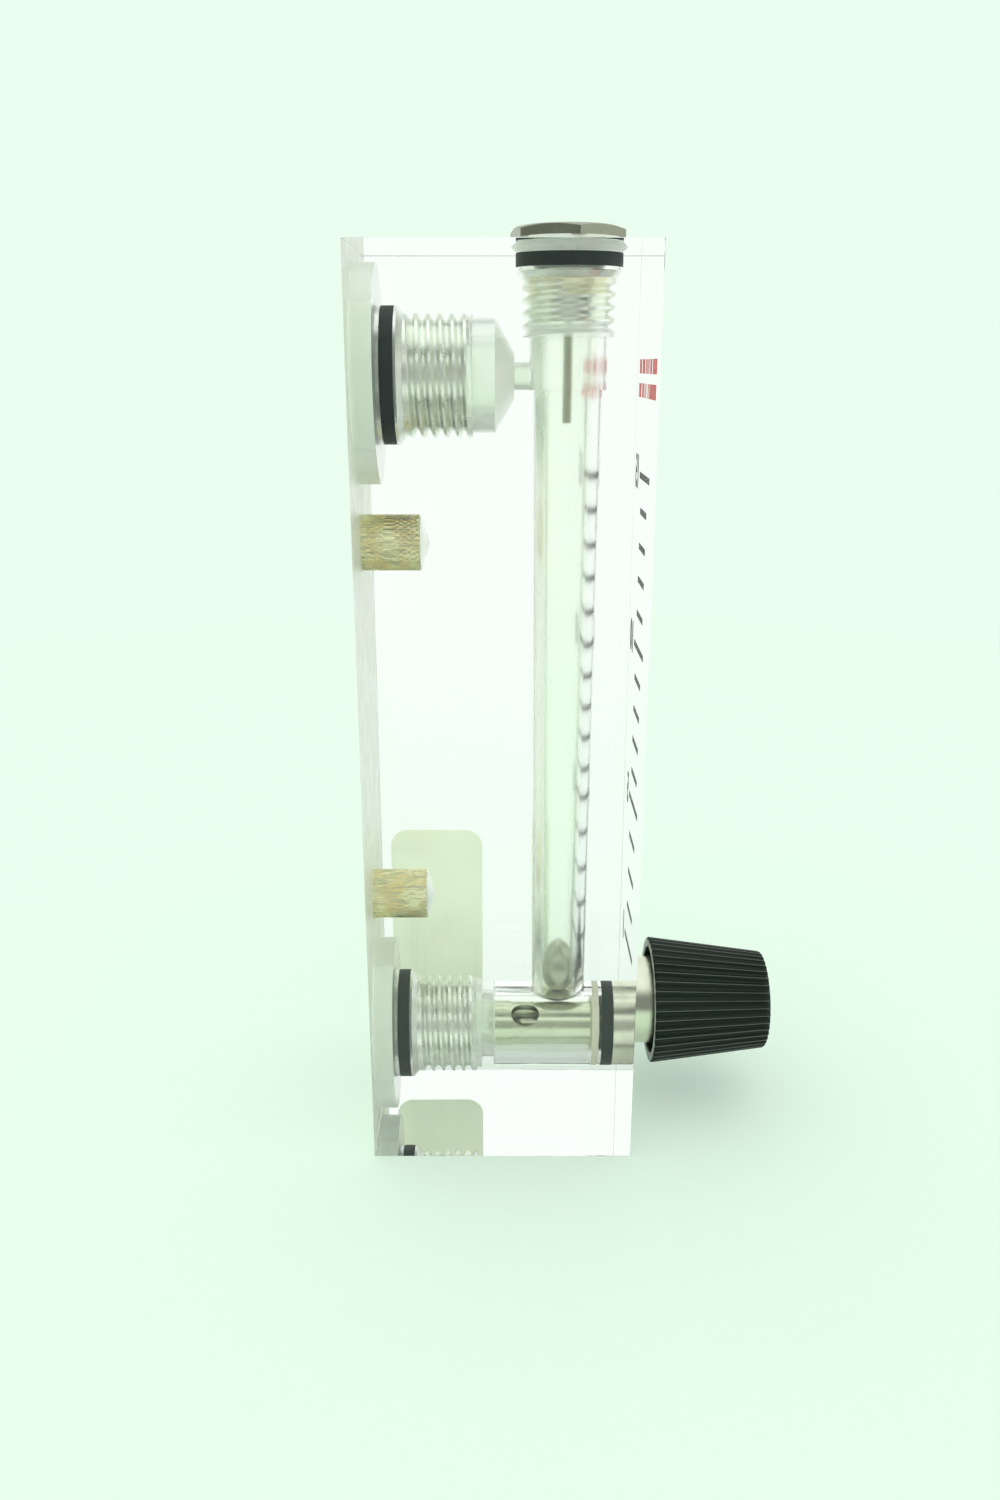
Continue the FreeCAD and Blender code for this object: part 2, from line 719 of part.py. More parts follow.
def check_model():
    """Stops if a feature failed, a cut removed nothing or a piece isn't one valid solid."""
    for item in doc.Objects:
        if {"Invalid", "Error"} & set(item.State):
            raise RuntimeError(f"{item.Name} failed: {item.State}")
        if item.TypeId in ("PartDesign::Groove", "PartDesign::Pocket", "PartDesign::SubtractiveLoft"):
            if item.Shape.Volume >= item.BaseFeature.Shape.Volume:
                raise RuntimeError(f"{item.Name} cuts nothing")
    for piece in pieces():
        shape = piece.Shape
        if shape.isNull() or not shape.isValid() or len(shape.Solids) != 1:
            raise RuntimeError(f"{piece.Label} isn't one valid solid")


def pieces():
    """The bodies of the document, one for each physical piece."""
    return [item for item in doc.Objects if item.TypeId == "PartDesign::Body"]


def write_parts():
    """One STEP file for each piece, named by its label."""
    os.makedirs("parts", exist_ok=True)
    for piece in pieces():
        piece.Shape.exportStep(f"parts/{piece.Label}.step")
        print(piece.Label, round(piece.Shape.Volume, 2))


def main():
    make_sheet()
    make_block()
    make_top_plug()
    make_stop_rod()
    make_float()
    make_fitting("inlet_fitting", "port_height")
    make_fitting("outlet_fitting", "block_height - port_height")
    make_insert("lower_insert", "insert_height")
    make_insert("upper_insert", "block_height - insert_height")
    make_barrel()
    make_seat()
    make_bonnet()
    make_backup_ring()
    make_clip()
    make_stem()
    make_knob()
    make_bush()
    make_screw()
    make_label()
    make_rings()
    doc.recompute()
    check_model()
    write_parts()


main()
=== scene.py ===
"""Clear block flow meter with a needle valve, dressed for rendering round its fixed CAD frame.

Run as a script. Lengths are metres, the origin is the centre of the block's bottom face, +X points to the knob.
"""

from math import pi, radians
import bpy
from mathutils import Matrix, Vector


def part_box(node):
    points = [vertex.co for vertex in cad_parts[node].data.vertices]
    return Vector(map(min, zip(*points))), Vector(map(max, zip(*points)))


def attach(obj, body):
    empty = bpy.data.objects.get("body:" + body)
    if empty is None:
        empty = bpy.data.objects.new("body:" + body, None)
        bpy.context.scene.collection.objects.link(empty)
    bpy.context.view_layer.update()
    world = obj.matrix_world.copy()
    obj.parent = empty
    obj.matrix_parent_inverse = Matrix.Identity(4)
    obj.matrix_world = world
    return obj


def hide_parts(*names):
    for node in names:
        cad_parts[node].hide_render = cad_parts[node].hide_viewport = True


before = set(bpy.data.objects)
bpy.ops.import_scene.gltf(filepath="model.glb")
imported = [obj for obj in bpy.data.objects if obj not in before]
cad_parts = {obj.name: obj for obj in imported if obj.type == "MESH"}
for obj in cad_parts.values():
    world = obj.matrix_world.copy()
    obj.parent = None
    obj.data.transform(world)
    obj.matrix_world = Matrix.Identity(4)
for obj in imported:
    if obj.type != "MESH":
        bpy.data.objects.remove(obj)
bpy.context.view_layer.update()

from types import SimpleNamespace

import bmesh
import bpy
import numpy as np
from bpy.props import FloatProperty, FloatVectorProperty, IntProperty, PointerProperty
from mathutils import Matrix

bl_info = {
    "name": "Clear Block Flow Meter",
    "version": (1, 0, 0),
    "blender": (4, 5, 0),
    "location": "View3D > Sidebar > Flow Meter",
    "description": "Builds the surfaces, print and finishes of a clear block flow meter",
    "category": "Add Mesh",
}

MM = 0.001

# Ways that a turned piece's axis points: along X, along Z and along Y
AXIAL = Matrix(((0, 0, 1), (1, 0, 0), (0, 1, 0)))
UPRIGHT = Matrix.Identity(3)
ACROSS = Matrix(((1, 0, 0), (0, 0, 1), (0, -1, 0)))


def lengths(**millimetres):
    """Named lengths, given in millimetres and kept in metres."""
    return SimpleNamespace(**{name: value * MM for name, value in millimetres.items()})


# Broken edge of the block, how far a cutter stands past a face, and how far apart doubles may lie
BLOCK = lengths(broken_edge=0.05, past=1.0, doubles=1e-4)
# Ports and their fittings: radii, and distances in from the block's back face
PORT = lengths(
    thread=7.1, thread_depth=0.80, thread_start=5.75, thread_stop=13.9, thread_bevel=0.3, drill=6.55, nose=6.2,
    flange_gap=0.05, seat=2.65, gland=2.4, gland_gap=0.01, flange_back=2.64, flange_bevel=0.2, neck_cut=1.8,
    neck_end=5.1, mouth=4.35, mouth_edge=4.95, mouth_bevel=0.6, passage=3.175, passage_start=10.0,
    pin_height=9.5, pin=1.3, pin_depth=1.8, pin_point=2.2)
# Passage from the upper port to the upright bore: radii, and places along X
PASSAGE = lengths(port_end=-0.9, point=2.7, radius=1.6, end=7.8)
# Upright bore: radii and heights
BORE = lengths(foot=14.3, land=3.7, taper_start=20.5, taper_top=4.225, taper_stop=100, chamber=4.7)
# Top plug and its hole: radii, distances down from the block's top face, and heights over it
PLUG = lengths(
    thread=5.5, thread_depth=0.72, thread_start=9.9, thread_stop=3.4, thread_bevel=0.3, gland=6.25,
    gland_floor=2.6, lip=6.8, lip_start=0.55, point=4.6, neck=4.4, disc=6.7, disc_edge=6.85, disc_bevel=0.15,
    disc_top=1.4,
    head_start=1.35, flats=12.7, crown=6.1, smear_start=6.0, smear_stop=2.5, smear_gone=2.3, collar=0.05)
# Valve bore and bonnet: radii, and distances in from the block's front face or from the bonnet's ends
VALVE = lengths(
    port_end=20.3, land=5.0, land_front=18.65, bore=6.25, stem_hole=2.43, spigot=3.2, spigot_end=3.41, gland=4.48,
    gland_end=2.05, bevel=0.3, well=3.1, well_floor=8.3, groove=3.6, groove_top=0.7, groove_floor=1.35)
# Sealing rings: what the solids' sizes gain or shift, the plug ring's section, and the backup ring's hole
RING = lengths(
    gap=0.01, widening=0.06, shift=0.06, plug_hole=4.45, plug_width=1.75, plug_drop=0.43, backup_hole=4.5)
# Inserts and their holes: bites and depths of the hole, radii, and the groove between the two knurled walls
INSERT = lengths(
    bite=0.11, spare=0.15, cone=1.0, point=0.3, mouth=2.4, bore=2.05, mouth_bevel=0.35, half_groove=0.5,
    groove_depth=0.35, row=0.12, knurl_pitch=0.5, knurl_edge=0.3)
# Knob: radii, and distances from its rim or tip
KNOB = lengths(
    end=6.9, tip_round=0.4, rim_round=0.25, rim_edge=0.12, rim_low=0.05, rim_flat=0.3, hollow_edge=7.75,
    hollow=7.6, hollow_bevel=0.15, hollow_floor=7.5, recess=5.5, bush=4.0, bush_depth=9.19, screw=1.6,
    screw_start=4.2, screw_stop=12, worn_start=0.02, worn_stop=0.1, crest=0.02, flute=0.12)
# Points round the knob's tip: how far inside its edge and below it each lies, in millimetres, and the share of the
# flutes' depth there
TIP_ROUNDING = ((0.6, 0, 0), (0.3, 0.03, 0.7), (0.05, 0.18, 1))
# Print and label: distances from the faces that they lie on, and the label's corner radius
PRINT = lengths(figure_place=9, figure_swell=0.12, dash=1.7, upper_dashes=102.7, lower_dashes=99.85)
LABEL = lengths(corner=2.5, back_gap=0.01, bevel_low=0.02, bevel=0.03)

# Heights of the scale's marks, and centres and widths of the dashes, in millimetres
LONG_MARKS = (89.6, 68.0, 46.9, 26.2)
SHORT_MARKS = (85.3, 80.9, 76.7, 72.3, 63.8, 59.5, 55.3, 50.9, 41.7, 36.4, 31.3)
FIGURES = ("15", "10", "5", "1")
UPPER_DASHES = (
    (11.8, 2.9), (6.9, 3.4), (3.3, 0.6), (1.8, 0.6), (0.2, 0.6), (-1.4, 0.6), (-4.3, 2.2), (-8.2, 2.4),
    (-11.2, 2.2))
LOWER_DASHES = (
    (11.6, 3.3), (7.0, 2.4), (4.0, 0.6), (2.4, 0.6), (-0.9, 1.0), (-3.0, 0.8), (-5.4, 2.6), (-8.6, 2.6),
    (-11.4, 1.8))

# Haze of the block's cut walls: at each place, the roughness and the share of white from there on, and half the
# width of the change between two of them
PORT_HAZE = [
    (0, 0.5, 0.75), (-14.85 * MM, 0.3, 0.15), (-12.4 * MM, 0.3, 0.35), (-3.5 * MM, 0.35, 0.35),
    (-1.0 * MM, 0.1, 0.0)]
BORE_HAZE = [
    (0, 0.22, 0.04), (100 * MM, 0.26, 0.04), (106 * MM, 0.25, 0.3), (113.2 * MM, 0.16, 0.1),
    (115.2 * MM, 0.4, 0.6)]
INSERT_HAZE = [(0, 0.3, 0.25)]
HAZE_STEP = 0.05 * MM

# Threads: shares of a turn at which a row runs, half flat crest, flank, and run-out in turns
THREAD_EDGES = np.array([0.08, 0.12, 0.33, 0.38, 0.62, 0.67, 0.88, 0.92])
THREAD_CREST = 0.28
THREAD_FLANK = 0.52
THREAD_RUN_OUT = 0.7

# Shapes that are plain numbers: fall of a drill's point and of the hexagon's bevel, turn of the hexagon and angle
# between its corners, roundness of the flutes, and the greatest share of an edge that a rounded corner takes
DRILL_FALL = 0.6
BEVEL_FALL = 0.36
HEXAGON_TURN = 8.7
SIXTH = pi / 3
FLUTE_ROUNDNESS = 0.8
CORNER_REACH = 0.45

# Faces round a turned piece, round a small one, a pin hole, the hexagon and a knurl, and from one rib to the next
ROUND = 160
SMALL_ROUND = 96
PIN_ROUND = 48
HEXAGON_ROUND = 360
KNURL_ROUND = 320
RIB_ROUND = 16

# Degrees past which an edge is sharp, on a new piece and on a carved one, and the greatest X of the normal of a
# face that counts as the block's back
SHARP = 35.0
SHARP_CARVED = 30.0
FACING_BACK = -0.6

# Clear acrylic: index of refraction, and how much it dims light on its way to what it holds
ACRYLIC_IOR = 1.49
ACRYLIC_DIM = 0.93

# Stage: camera, lamp, floor, and the dim patch of the room that metal and clear pieces show
CAMERA_PLACE = (-0.3 * MM, -156.5 * MM, 102.9 * MM)
CAMERA_TILT = 17.8
CAMERA_LENS = 28.8
CAMERA_START = 0.005
LAMP_PLACE = (0.0, 0.05, 0.6)
LAMP_SIZE = 1.0
LAMP_POWER = 0.4
FLOOR_RADIUS = 0.42
FLOOR_RINGS = 15
FLOOR_DROP = 0.02 * MM
FLOOR_FADE = (0.17, 0.40)
FLOOR_GLOW = 0.25
PATCH_WAY = (0.0, -0.985, -0.17)
PATCH_EDGES = (0.35, 0.75)
PATCH_DEPTH = 0.75
PATCH_DEPTH_CLEAR = -0.1
CLEAR_GAIN = 0.08


def length(name, description, default):
    """A length property in metres."""
    return FloatProperty(name=name, description=description, default=default, unit="LENGTH", precision=5, min=0.0)


def colour(name, description, default):
    """A colour property."""
    return FloatVectorProperty(
        name=name, description=description, default=default, subtype="COLOR", size=3, min=0, max=1)


class MeterSizes(bpy.types.PropertyGroup):
    """Sizes that the solids leave out."""

    port_pitch: length("Port thread pitch", "Distance between turns of the port threads", 1.411 * MM)
    plug_pitch: length("Plug thread pitch", "Distance between turns of the top plug's thread", 1.411 * MM)
    thread_bite: FloatProperty(
        name="Thread bite", description="How far a male thread wets the block's thread", default=0.04 * MM,
        unit="LENGTH", precision=5)
    ring_bite: length("Ring bite", "How far a pressed ring wets the block beyond its bore", 0.03 * MM)
    rib_depth: length("Rib depth", "Depth of the flutes in the knob", 0.42 * MM)
    ribs: IntProperty(name="Ribs", description="Number of ribs round the knob", default=40, min=3)
    knurls: IntProperty(name="Knurls", description="Number of teeth round an insert", default=40, min=3)
    knurl_depth: length("Knurl depth", "Depth of the teeth round an insert", 0.1 * MM)
    ink: length("Ink thickness", "Thickness of the print on the block", 0.02 * MM)
    tick: length("Tick thickness", "Height of a scale mark", 0.8 * MM)
    long_tick: length("Long tick", "Length of a numbered scale mark", 15 * MM)
    short_tick: length("Short tick", "Length of a plain scale mark", 9.5 * MM)
    figure: length("Figure height", "Height of a scale number", 4.2 * MM)


class MeterColours(bpy.types.PropertyGroup):
    """Colours of the finishes."""

    acrylic: colour("Acrylic", "Clear block", (0.972, 0.988, 0.974))
    steel: colour("Steel", "Turned fittings", (0.95, 0.99, 0.91))
    bright_steel: colour("Bright steel", "Valve pieces and float", (0.78, 0.80, 0.65))
    brass: colour("Brass", "Inserts and bush", (0.94, 0.91, 0.58))
    tan: colour("Tan", "Stained patches on the inserts", (0.88, 0.72, 0.36))
    amber: colour("Amber", "Backup ring", (0.86, 0.86, 0.68))
    rubber: colour("Rubber", "Sealing rings", (0.010, 0.019, 0.017))
    knob: colour("Knob", "Ribbed knob", (0.001, 0.010, 0.004))
    # Pale colour painted on the knob: wear and a painted highlight together at the rim, a painted highlight along
    # the rib crests
    wear_and_highlight: colour("Wear", "Rubbed edges of the knob", (0.50, 0.55, 0.50))
    ink: colour("Ink", "Scale marks and numbers", (0.012, 0.012, 0.014))
    red_ink: colour("Red ink", "Dashes above the scale", (0.80, 0.06, 0.06))
    paper: colour("Paper", "Blank label", (0.96, 1.0, 0.89))
    haze: colour("Haze", "Milky walls inside the block", (0.93, 1.0, 0.90))
    sanded: colour("Sanded", "Rubbed back face of the block", (0.94, 1.0, 0.86))
    dark_steel: colour("Dark steel", "Hexagon of the plug", (0.33, 0.34, 0.26))
    sealant: colour("Sealant", "Smear on the plug's thread", (0.80, 0.74, 0.45))
    collar: colour("Collar", "Pale disc under the hexagon", (0.88, 0.93, 0.84))
    backdrop: colour("Backdrop", "Floor and background", (0.83, 0.985, 0.86))
    floor_through: colour("Floor through", "Floor as clear pieces show it", (0.93, 0.99, 0.945))
    room: colour("Room", "Light of the room", (0.945, 1.0, 0.955))


def sizes():
    """The scene's sizes."""
    return bpy.context.scene.meter_sizes


def colours():
    """The scene's colours."""
    return bpy.context.scene.meter_colours


def span(node):
    """Lowest corner, highest corner and centre of a CAD node, as arrays."""
    low, high = (np.array(corner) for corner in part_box(node))
    return low, high, (low + high) / 2


# Surfaces


def soften(corners, size, steps=3):
    """A closed outline whose corners are parabolas: each corner point pulls a curve between two points that lie
    the given size before and after it on its edges."""
    points = np.array(corners, float)
    before = np.roll(points, 1, axis=0) - points
    after = np.roll(points, -1, axis=0) - points
    reach = np.minimum(np.minimum(np.hypot(*before.T), np.hypot(*after.T)) * CORNER_REACH, size)
    start = points + before * (reach / np.hypot(*before.T))[:, None]
    stop = points + after * (reach / np.hypot(*after.T))[:, None]
    t = np.linspace(0, 1, steps)[None, :, None]
    curve = (1 - t) ** 2 * start[:, None] + 2 * t * (1 - t) * points[:, None] + t ** 2 * stop[:, None]
    return curve.reshape(-1, 2)


def run(radius, start, stop, step):
    """Points of a straight wall of one radius, a step apart from start, and one at stop."""
    along = np.append(np.arange(start, stop - step / 4, step), stop)
    return np.column_stack((np.full(len(along), radius), along)).tolist()


def thread_wave(pitch, depth, start, stop):
    """How far a right-handed thread cuts in at an angle and a distance: a triangle wave of distance over pitch
    less turn, with flat crests and roots, that grows over its run-out from each end."""

    def wave(turn, along):
        phase = (along / pitch - turn) % 1.0
        tooth = np.clip((np.abs(2 * phase - 1) - THREAD_CREST) / THREAD_FLANK, 0, 1)
        edge = np.minimum(along - start, stop - along) / (pitch * THREAD_RUN_OUT)
        return depth * tooth * np.clip(edge, 0, 1)

    return wave


def threaded(before, radius, pitch, start, stop, after):
    """An outline with a thread between two lists of points, and the thread's rows for lathe: one row along
    every edge of each turn, from two turns before its start to two past its stop."""
    turns = np.arange(np.floor(start / pitch) - 2, np.ceil(stop / pitch) + 2)
    along = ((turns[:, None] + THREAD_EDGES) * pitch).ravel()
    rows = np.column_stack((np.full(len(along), radius), along)).tolist()
    return before + rows + after, (len(before), len(rows), pitch, start, stop)


def lathe(name, outline, centre, basis, segments=ROUND, wave=None, closed=True, limit=None, thread=None):
    """A solid of revolution: each outline point (radius, distance) runs round a circle of that radius less the
    wave's depth at its turn and distance, and never beyond the limit at its turn. An open outline starts and
    ends on the axis. A thread, as first row, number of rows, pitch, start and stop, makes its rows slide one
    pitch in a turn between start and stop, so that they follow its edges."""
    outline = np.array(outline, float)
    turn = np.arange(segments) / segments
    radius = np.repeat(outline[:, :1], segments, axis=1)
    along = np.repeat(outline[:, 1:], segments, axis=1)
    beside = np.arange(len(outline))
    if thread is not None:
        first, count, pitch, start, stop = thread
        rows = slice(first, first + count)
        along[rows] = np.clip(along[rows] + pitch * turn[None, :], start, stop)
        beside[rows] = np.minimum(beside[rows] + len(THREAD_EDGES), first + count - 1)
    if wave is not None:
        radius = np.maximum(radius - wave(turn[None, :], along), 0)
    if limit is not None:
        radius = np.minimum(radius, limit(turn)[None, :])
    angle = 2 * pi * turn[None, :]
    points = np.stack((radius * np.cos(angle), radius * np.sin(angle), along), axis=-1).reshape(-1, 3)
    points = points @ np.array(basis).T + np.array(centre)
    return surface(name, points, grid_faces(len(outline), segments, closed, beside))


def grid_faces(rows, columns, wrap_rows, beside=None):
    """Four-sided faces between neighbours of a grid whose columns close on themselves, and its rows if asked.
    Beside gives, for each row, the row that it meets where the columns close."""
    beside = np.arange(rows) if beside is None else beside
    row = np.arange(rows if wrap_rows else rows - 1)[:, None]
    column = np.arange(columns)[None, :]
    below = (row + 1) % rows
    closing = column == columns - 1
    near = np.where(closing, beside[row] * columns, row * columns + column + 1)
    far = np.where(closing, beside[below] * columns, below * columns + column + 1)
    corners = np.broadcast_arrays(row * columns + column, near, far, below * columns + column)
    return np.stack(corners, axis=-1).reshape(-1, 4)


def surface(name, points, faces):
    """A mesh object of points and faces, with doubles merged, faces outwards and sharp edges marked."""
    mesh = bpy.data.meshes.new(name)
    mesh.from_pydata(points.tolist(), [], faces.tolist())
    piece = bpy.data.objects.new(name, mesh)
    bpy.context.collection.objects.link(piece)
    tidy(piece)
    return piece


def tidy(piece, angle=SHARP):
    """Merges doubles, turns faces outwards and marks sharp edges."""
    work = bmesh.new()
    work.from_mesh(piece.data)
    bmesh.ops.remove_doubles(work, verts=work.verts, dist=BLOCK.doubles)
    bmesh.ops.dissolve_degenerate(work, edges=work.edges, dist=BLOCK.doubles / 10)
    bmesh.ops.recalc_face_normals(work, faces=work.faces)
    work.to_mesh(piece.data)
    work.free()
    piece.data.shade_smooth()
    piece.data.set_sharp_from_angle(angle=radians(angle))


def carve(piece, cutters):
    """Cuts each solid out of the piece in turn and removes the cutters, whose finish stays on the new walls."""
    for cutter in cutters:
        cut = piece.modifiers.new("Cut", "BOOLEAN")
        cut.object = cutter
        cut.solver = "EXACT"
        cut.material_mode = "TRANSFER"
        bake(piece)
        bpy.data.objects.remove(cutter)
    tidy(piece, SHARP_CARVED)


def bake(piece):
    """Applies a piece's modifiers to its mesh."""
    graph = bpy.context.evaluated_depsgraph_get()
    mesh = bpy.data.meshes.new_from_object(piece.evaluated_get(graph), depsgraph=graph)
    piece.modifiers.clear()
    piece.data = mesh


def finish(piece, body, slot, material, *nodes):
    """Gives a new piece its material, body and the CAD nodes that it stands for. The slot is not used."""
    if material is not None and not piece.data.materials:
        piece.data.materials.append(material)
    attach(piece, body)
    if nodes:
        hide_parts(*nodes)


def dress(node, material):
    """Gives a CAD node's object its material."""
    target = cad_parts[node]
    target.data.materials.clear()
    target.data.materials.append(material)


# Finishes


class Finish:
    """A node material: nodes are added by type, wired by socket name and set by value."""

    def __init__(self, name):
        self.material = bpy.data.materials.get(name) or bpy.data.materials.new(name)
        self.material.use_nodes = True
        self.tree = self.material.node_tree
        self.tree.nodes.clear()
        self.output = self.node("ShaderNodeOutputMaterial")
        self.place = self.node("ShaderNodeTexCoord").outputs["Object"]

    def node(self, kind, **inputs):
        """A new node with its sockets set to values or wired to other sockets."""
        made = self.tree.nodes.new(kind)
        for name, value in inputs.items():
            self.put(made, name.replace("_", " "), value)
        return made

    def put(self, node, socket, value):
        """Sets or wires one input, by its name or its number."""
        target = node.inputs[int(socket[1:])] if socket[0] == "n" and socket[1:].isdigit() else node.inputs[socket]
        if isinstance(value, bpy.types.NodeSocket):
            self.tree.links.new(value, target)
        else:
            target.default_value = value

    def noise(self, scale, detail=3.0, stretch=None):
        """A noise value on object coordinates, stretched along an axis if asked."""
        place = self.place
        if stretch is not None:
            place = self.node("ShaderNodeMapping", Vector=place, Scale=stretch).outputs["Vector"]
        return self.node("ShaderNodeTexNoise", Vector=place, Scale=scale, Detail=detail).outputs["Fac"]

    def spread(self, value, low, high, out_low=0.0, out_high=1.0):
        """A value moved from one range to another and kept inside it."""
        ranged = self.node("ShaderNodeMapRange", Value=value)
        for name, limit in (("From Min", low), ("From Max", high), ("To Min", out_low), ("To Max", out_high)):
            self.put(ranged, name, limit)
        return ranged.outputs["Result"]

    def mix(self, factor, first, second):
        """A colour between two colours."""
        made = self.node("ShaderNodeMix")
        made.data_type = "RGBA"
        self.put(made, "n0", factor)
        for socket, value in (("n6", first), ("n7", second)):
            self.put(made, socket, value if isinstance(value, bpy.types.NodeSocket) else rgba(value))
        return made.outputs[2]

    def between(self, factor, first, second):
        """A number between two numbers."""
        return self.node("ShaderNodeMix", n0=factor, n2=first, n3=second).outputs[0]

    def reckon(self, operation, *values, **kind):
        """The result of a sum on sockets, numbers or vectors."""
        return reckon(self.tree, operation, *values, **kind)

    def axis(self, name):
        """One object coordinate."""
        return self.node("ShaderNodeSeparateXYZ", Vector=self.place).outputs[name]

    def bump(self, height, distance=0.01 * MM, strength=1.0):
        """A normal roughened by a height."""
        return self.node("ShaderNodeBump", Height=height, Distance=distance, Strength=strength).outputs["Normal"]

    def close(self, **inputs):
        """The finished material, with one Principled shader."""
        shader = self.node("ShaderNodeBsdfPrincipled", **inputs)
        self.tree.links.new(shader.outputs["BSDF"], self.output.inputs["Surface"])
        return self.material

    def clear(self, tint, **inputs):
        """The finished material of a clear piece, which lets lamp light through to what it holds."""
        shader = self.node("ShaderNodeBsdfPrincipled", Base_Color=rgba(tint), IOR=ACRYLIC_IOR, **inputs)
        open_way = self.node("ShaderNodeBsdfTransparent", Color=rgba(shade(tint, ACRYLIC_DIM)))
        shadow = self.node("ShaderNodeLightPath").outputs["Is Shadow Ray"]
        mix = self.node("ShaderNodeMixShader", n0=shadow, n1=shader.outputs[0], n2=open_way.outputs[0])
        self.tree.links.new(mix.outputs[0], self.output.inputs["Surface"])
        return self.material


def rgba(value):
    """A colour with full alpha."""
    return (*value, 1.0)


def shade(value, factor):
    """A colour made darker or lighter."""
    return tuple(min(1.0, part * factor) for part in value)


def acrylic():
    """Clear acrylic with a faint uneven polish."""
    made = Finish("Clear acrylic")
    wave = made.noise(60.0, 1.0)
    polish = made.bump(wave, strength=0.1)
    return made.clear(colours().acrylic, Transmission_Weight=1.0, Roughness=0.0, Normal=polish)


def sanded_acrylic():
    """The block's mounting face, rubbed dull and a little milky."""
    made = Finish("Sanded acrylic")
    rough = made.spread(made.noise(300.0, 4.0), 0.35, 0.7, 0.35, 0.5)
    milk = made.spread(made.noise(120.0, 4.0), 0.3, 0.7, 0.6, 0.45)
    return made.clear(
        colours().sanded, Transmission_Weight=milk, Roughness=rough,
        Normal=made.bump(made.noise(2200.0, 2.0), strength=0.1))


def cut_acrylic(name, axis, steps):
    """Acrylic wall left by a cutter: its haze and its milkiness change along an axis at each step. A step is a
    place, a roughness and a share of white."""
    made = Finish(name)
    grain = made.noise(1500.0, 2.0)
    rough, milk = steps[0][1], 1 - steps[0][2]
    for place, new_rough, white in steps[1:]:
        inside = made.spread(made.axis(axis), place - HAZE_STEP, place + HAZE_STEP)
        rough = made.between(inside, rough, new_rough)
        milk = made.between(inside, milk, 1 - white)
    return made.clear(
        colours().haze, Transmission_Weight=milk, Roughness=rough, Normal=made.bump(grain, strength=0.06))


def turned_metal(name, base, roughness, stretch=(1.0, 0.05, 0.05)):
    """Turned metal: fine tool rings, a roughness that drifts and faint darker stains."""
    made = Finish(name)
    rings = made.noise(2600.0, 2.0, stretch)
    cloud = made.noise(320.0, 4.0)
    tint = made.mix(made.spread(cloud, 0.42, 0.7), base, shade(base, 0.92))
    rough = made.spread(made.noise(700.0), 0.35, 0.7, roughness * 0.88, roughness * 1.15)
    return made.close(Base_Color=tint, Metallic=1.0, Roughness=rough, Normal=made.bump(rings, 0.012 * MM, 0.2))


def rubber():
    """Matt black rubber with a fine grain."""
    made = Finish("Black rubber")
    base = colours().rubber
    tint = made.mix(made.noise(900.0), base, shade(base, 1.9))
    grain = made.bump(made.noise(2600.0), strength=0.5)
    return made.close(Base_Color=tint, Roughness=0.55, Specular_IOR_Level=0.35, Normal=grain)


# Pieces


def ring_outline(radius, inside, width, centre):
    """Outline of a squeezed ring: a band between two radii with rounded edges that also wets the bore by its
    bite."""
    half = width / 2
    outside = radius + sizes().ring_bite
    corners = [(inside, centre - half), (outside, centre - half), (outside, centre + half), (inside, centre + half)]
    return soften(corners, half / 4, 5)


def block_cutters():
    """Solids for the holes of the block: the lower line of port and valve, the upper port, the upright bore
    with its plug thread, and the two insert holes."""
    walls = [cut_acrylic("Port wall", "X", PORT_HAZE), cut_acrylic("Upper port wall", "X", PORT_HAZE[:4])]
    walls += [cut_acrylic("Bore wall", "Z", BORE_HAZE), *[cut_acrylic("Insert wall", "X", INSERT_HAZE)] * 2]
    cutters = [lower_line(), upper_port(), upright_bore()]
    for node in ("lower_insert", "upper_insert"):
        low, high, middle = span(node)
        radius = (high[2] - low[2]) / 2 - INSERT.bite
        mouth, deep = low[0] - BLOCK.past, high[0] + INSERT.spare
        end = deep + INSERT.cone
        outline = [(0, mouth), (radius, mouth), (radius, deep), (INSERT.point, end), (0, end)]
        cutters.append(lathe(node + "_hole", outline, (0, 0, middle[2]), AXIAL, SMALL_ROUND, closed=False))
    for cutter, wall in zip(cutters, walls):
        cutter.data.materials.append(wall)
    return cutters


def port_thread(mouth):
    """Start, stop and shape of the thread that a port and its fitting share."""
    start, stop = mouth + PORT.thread_start, mouth + PORT.thread_stop
    return start, stop, thread_wave(sizes().port_pitch, PORT.thread_depth, start, stop)


def plug_thread(top):
    """Start, stop and shape of the thread that the block's top and the plug share."""
    start, stop = top - PLUG.thread_start, top - PLUG.thread_stop
    return start, stop, thread_wave(sizes().plug_pitch, PLUG.thread_depth, start, stop)


def port_measures(node):
    """Lowest and highest corner and centre of a port's fitting, its flange's radius and its ring's outer
    radius."""
    low, high, middle = span(node)
    ring_low, ring_high, _ = span(node.replace("fitting", "o_ring"))
    return low, high, middle, (high[1] - low[1]) / 2, (ring_high[1] - ring_low[1]) / 2


def port_wall(node, end):
    """Outline, wave, thread and height of a stepped port: flange seat, ring gland, cone, thread and drill."""
    low, _, middle, flange, ring = port_measures(node)
    mouth = low[0]
    flange += PORT.flange_gap
    gland = ring + PORT.gland_gap
    seat = mouth + PORT.seat
    start, stop, wave = port_thread(mouth)
    before = [(0, mouth - BLOCK.past), (flange, mouth - BLOCK.past), (flange, seat), (gland, seat)]
    before.append((gland, seat + PORT.gland))
    after = [(PORT.drill, stop), (PORT.drill, end)]
    outline, thread = threaded(before, PORT.thread, sizes().port_pitch, start, stop, after)
    return outline, wave, thread, middle[2]


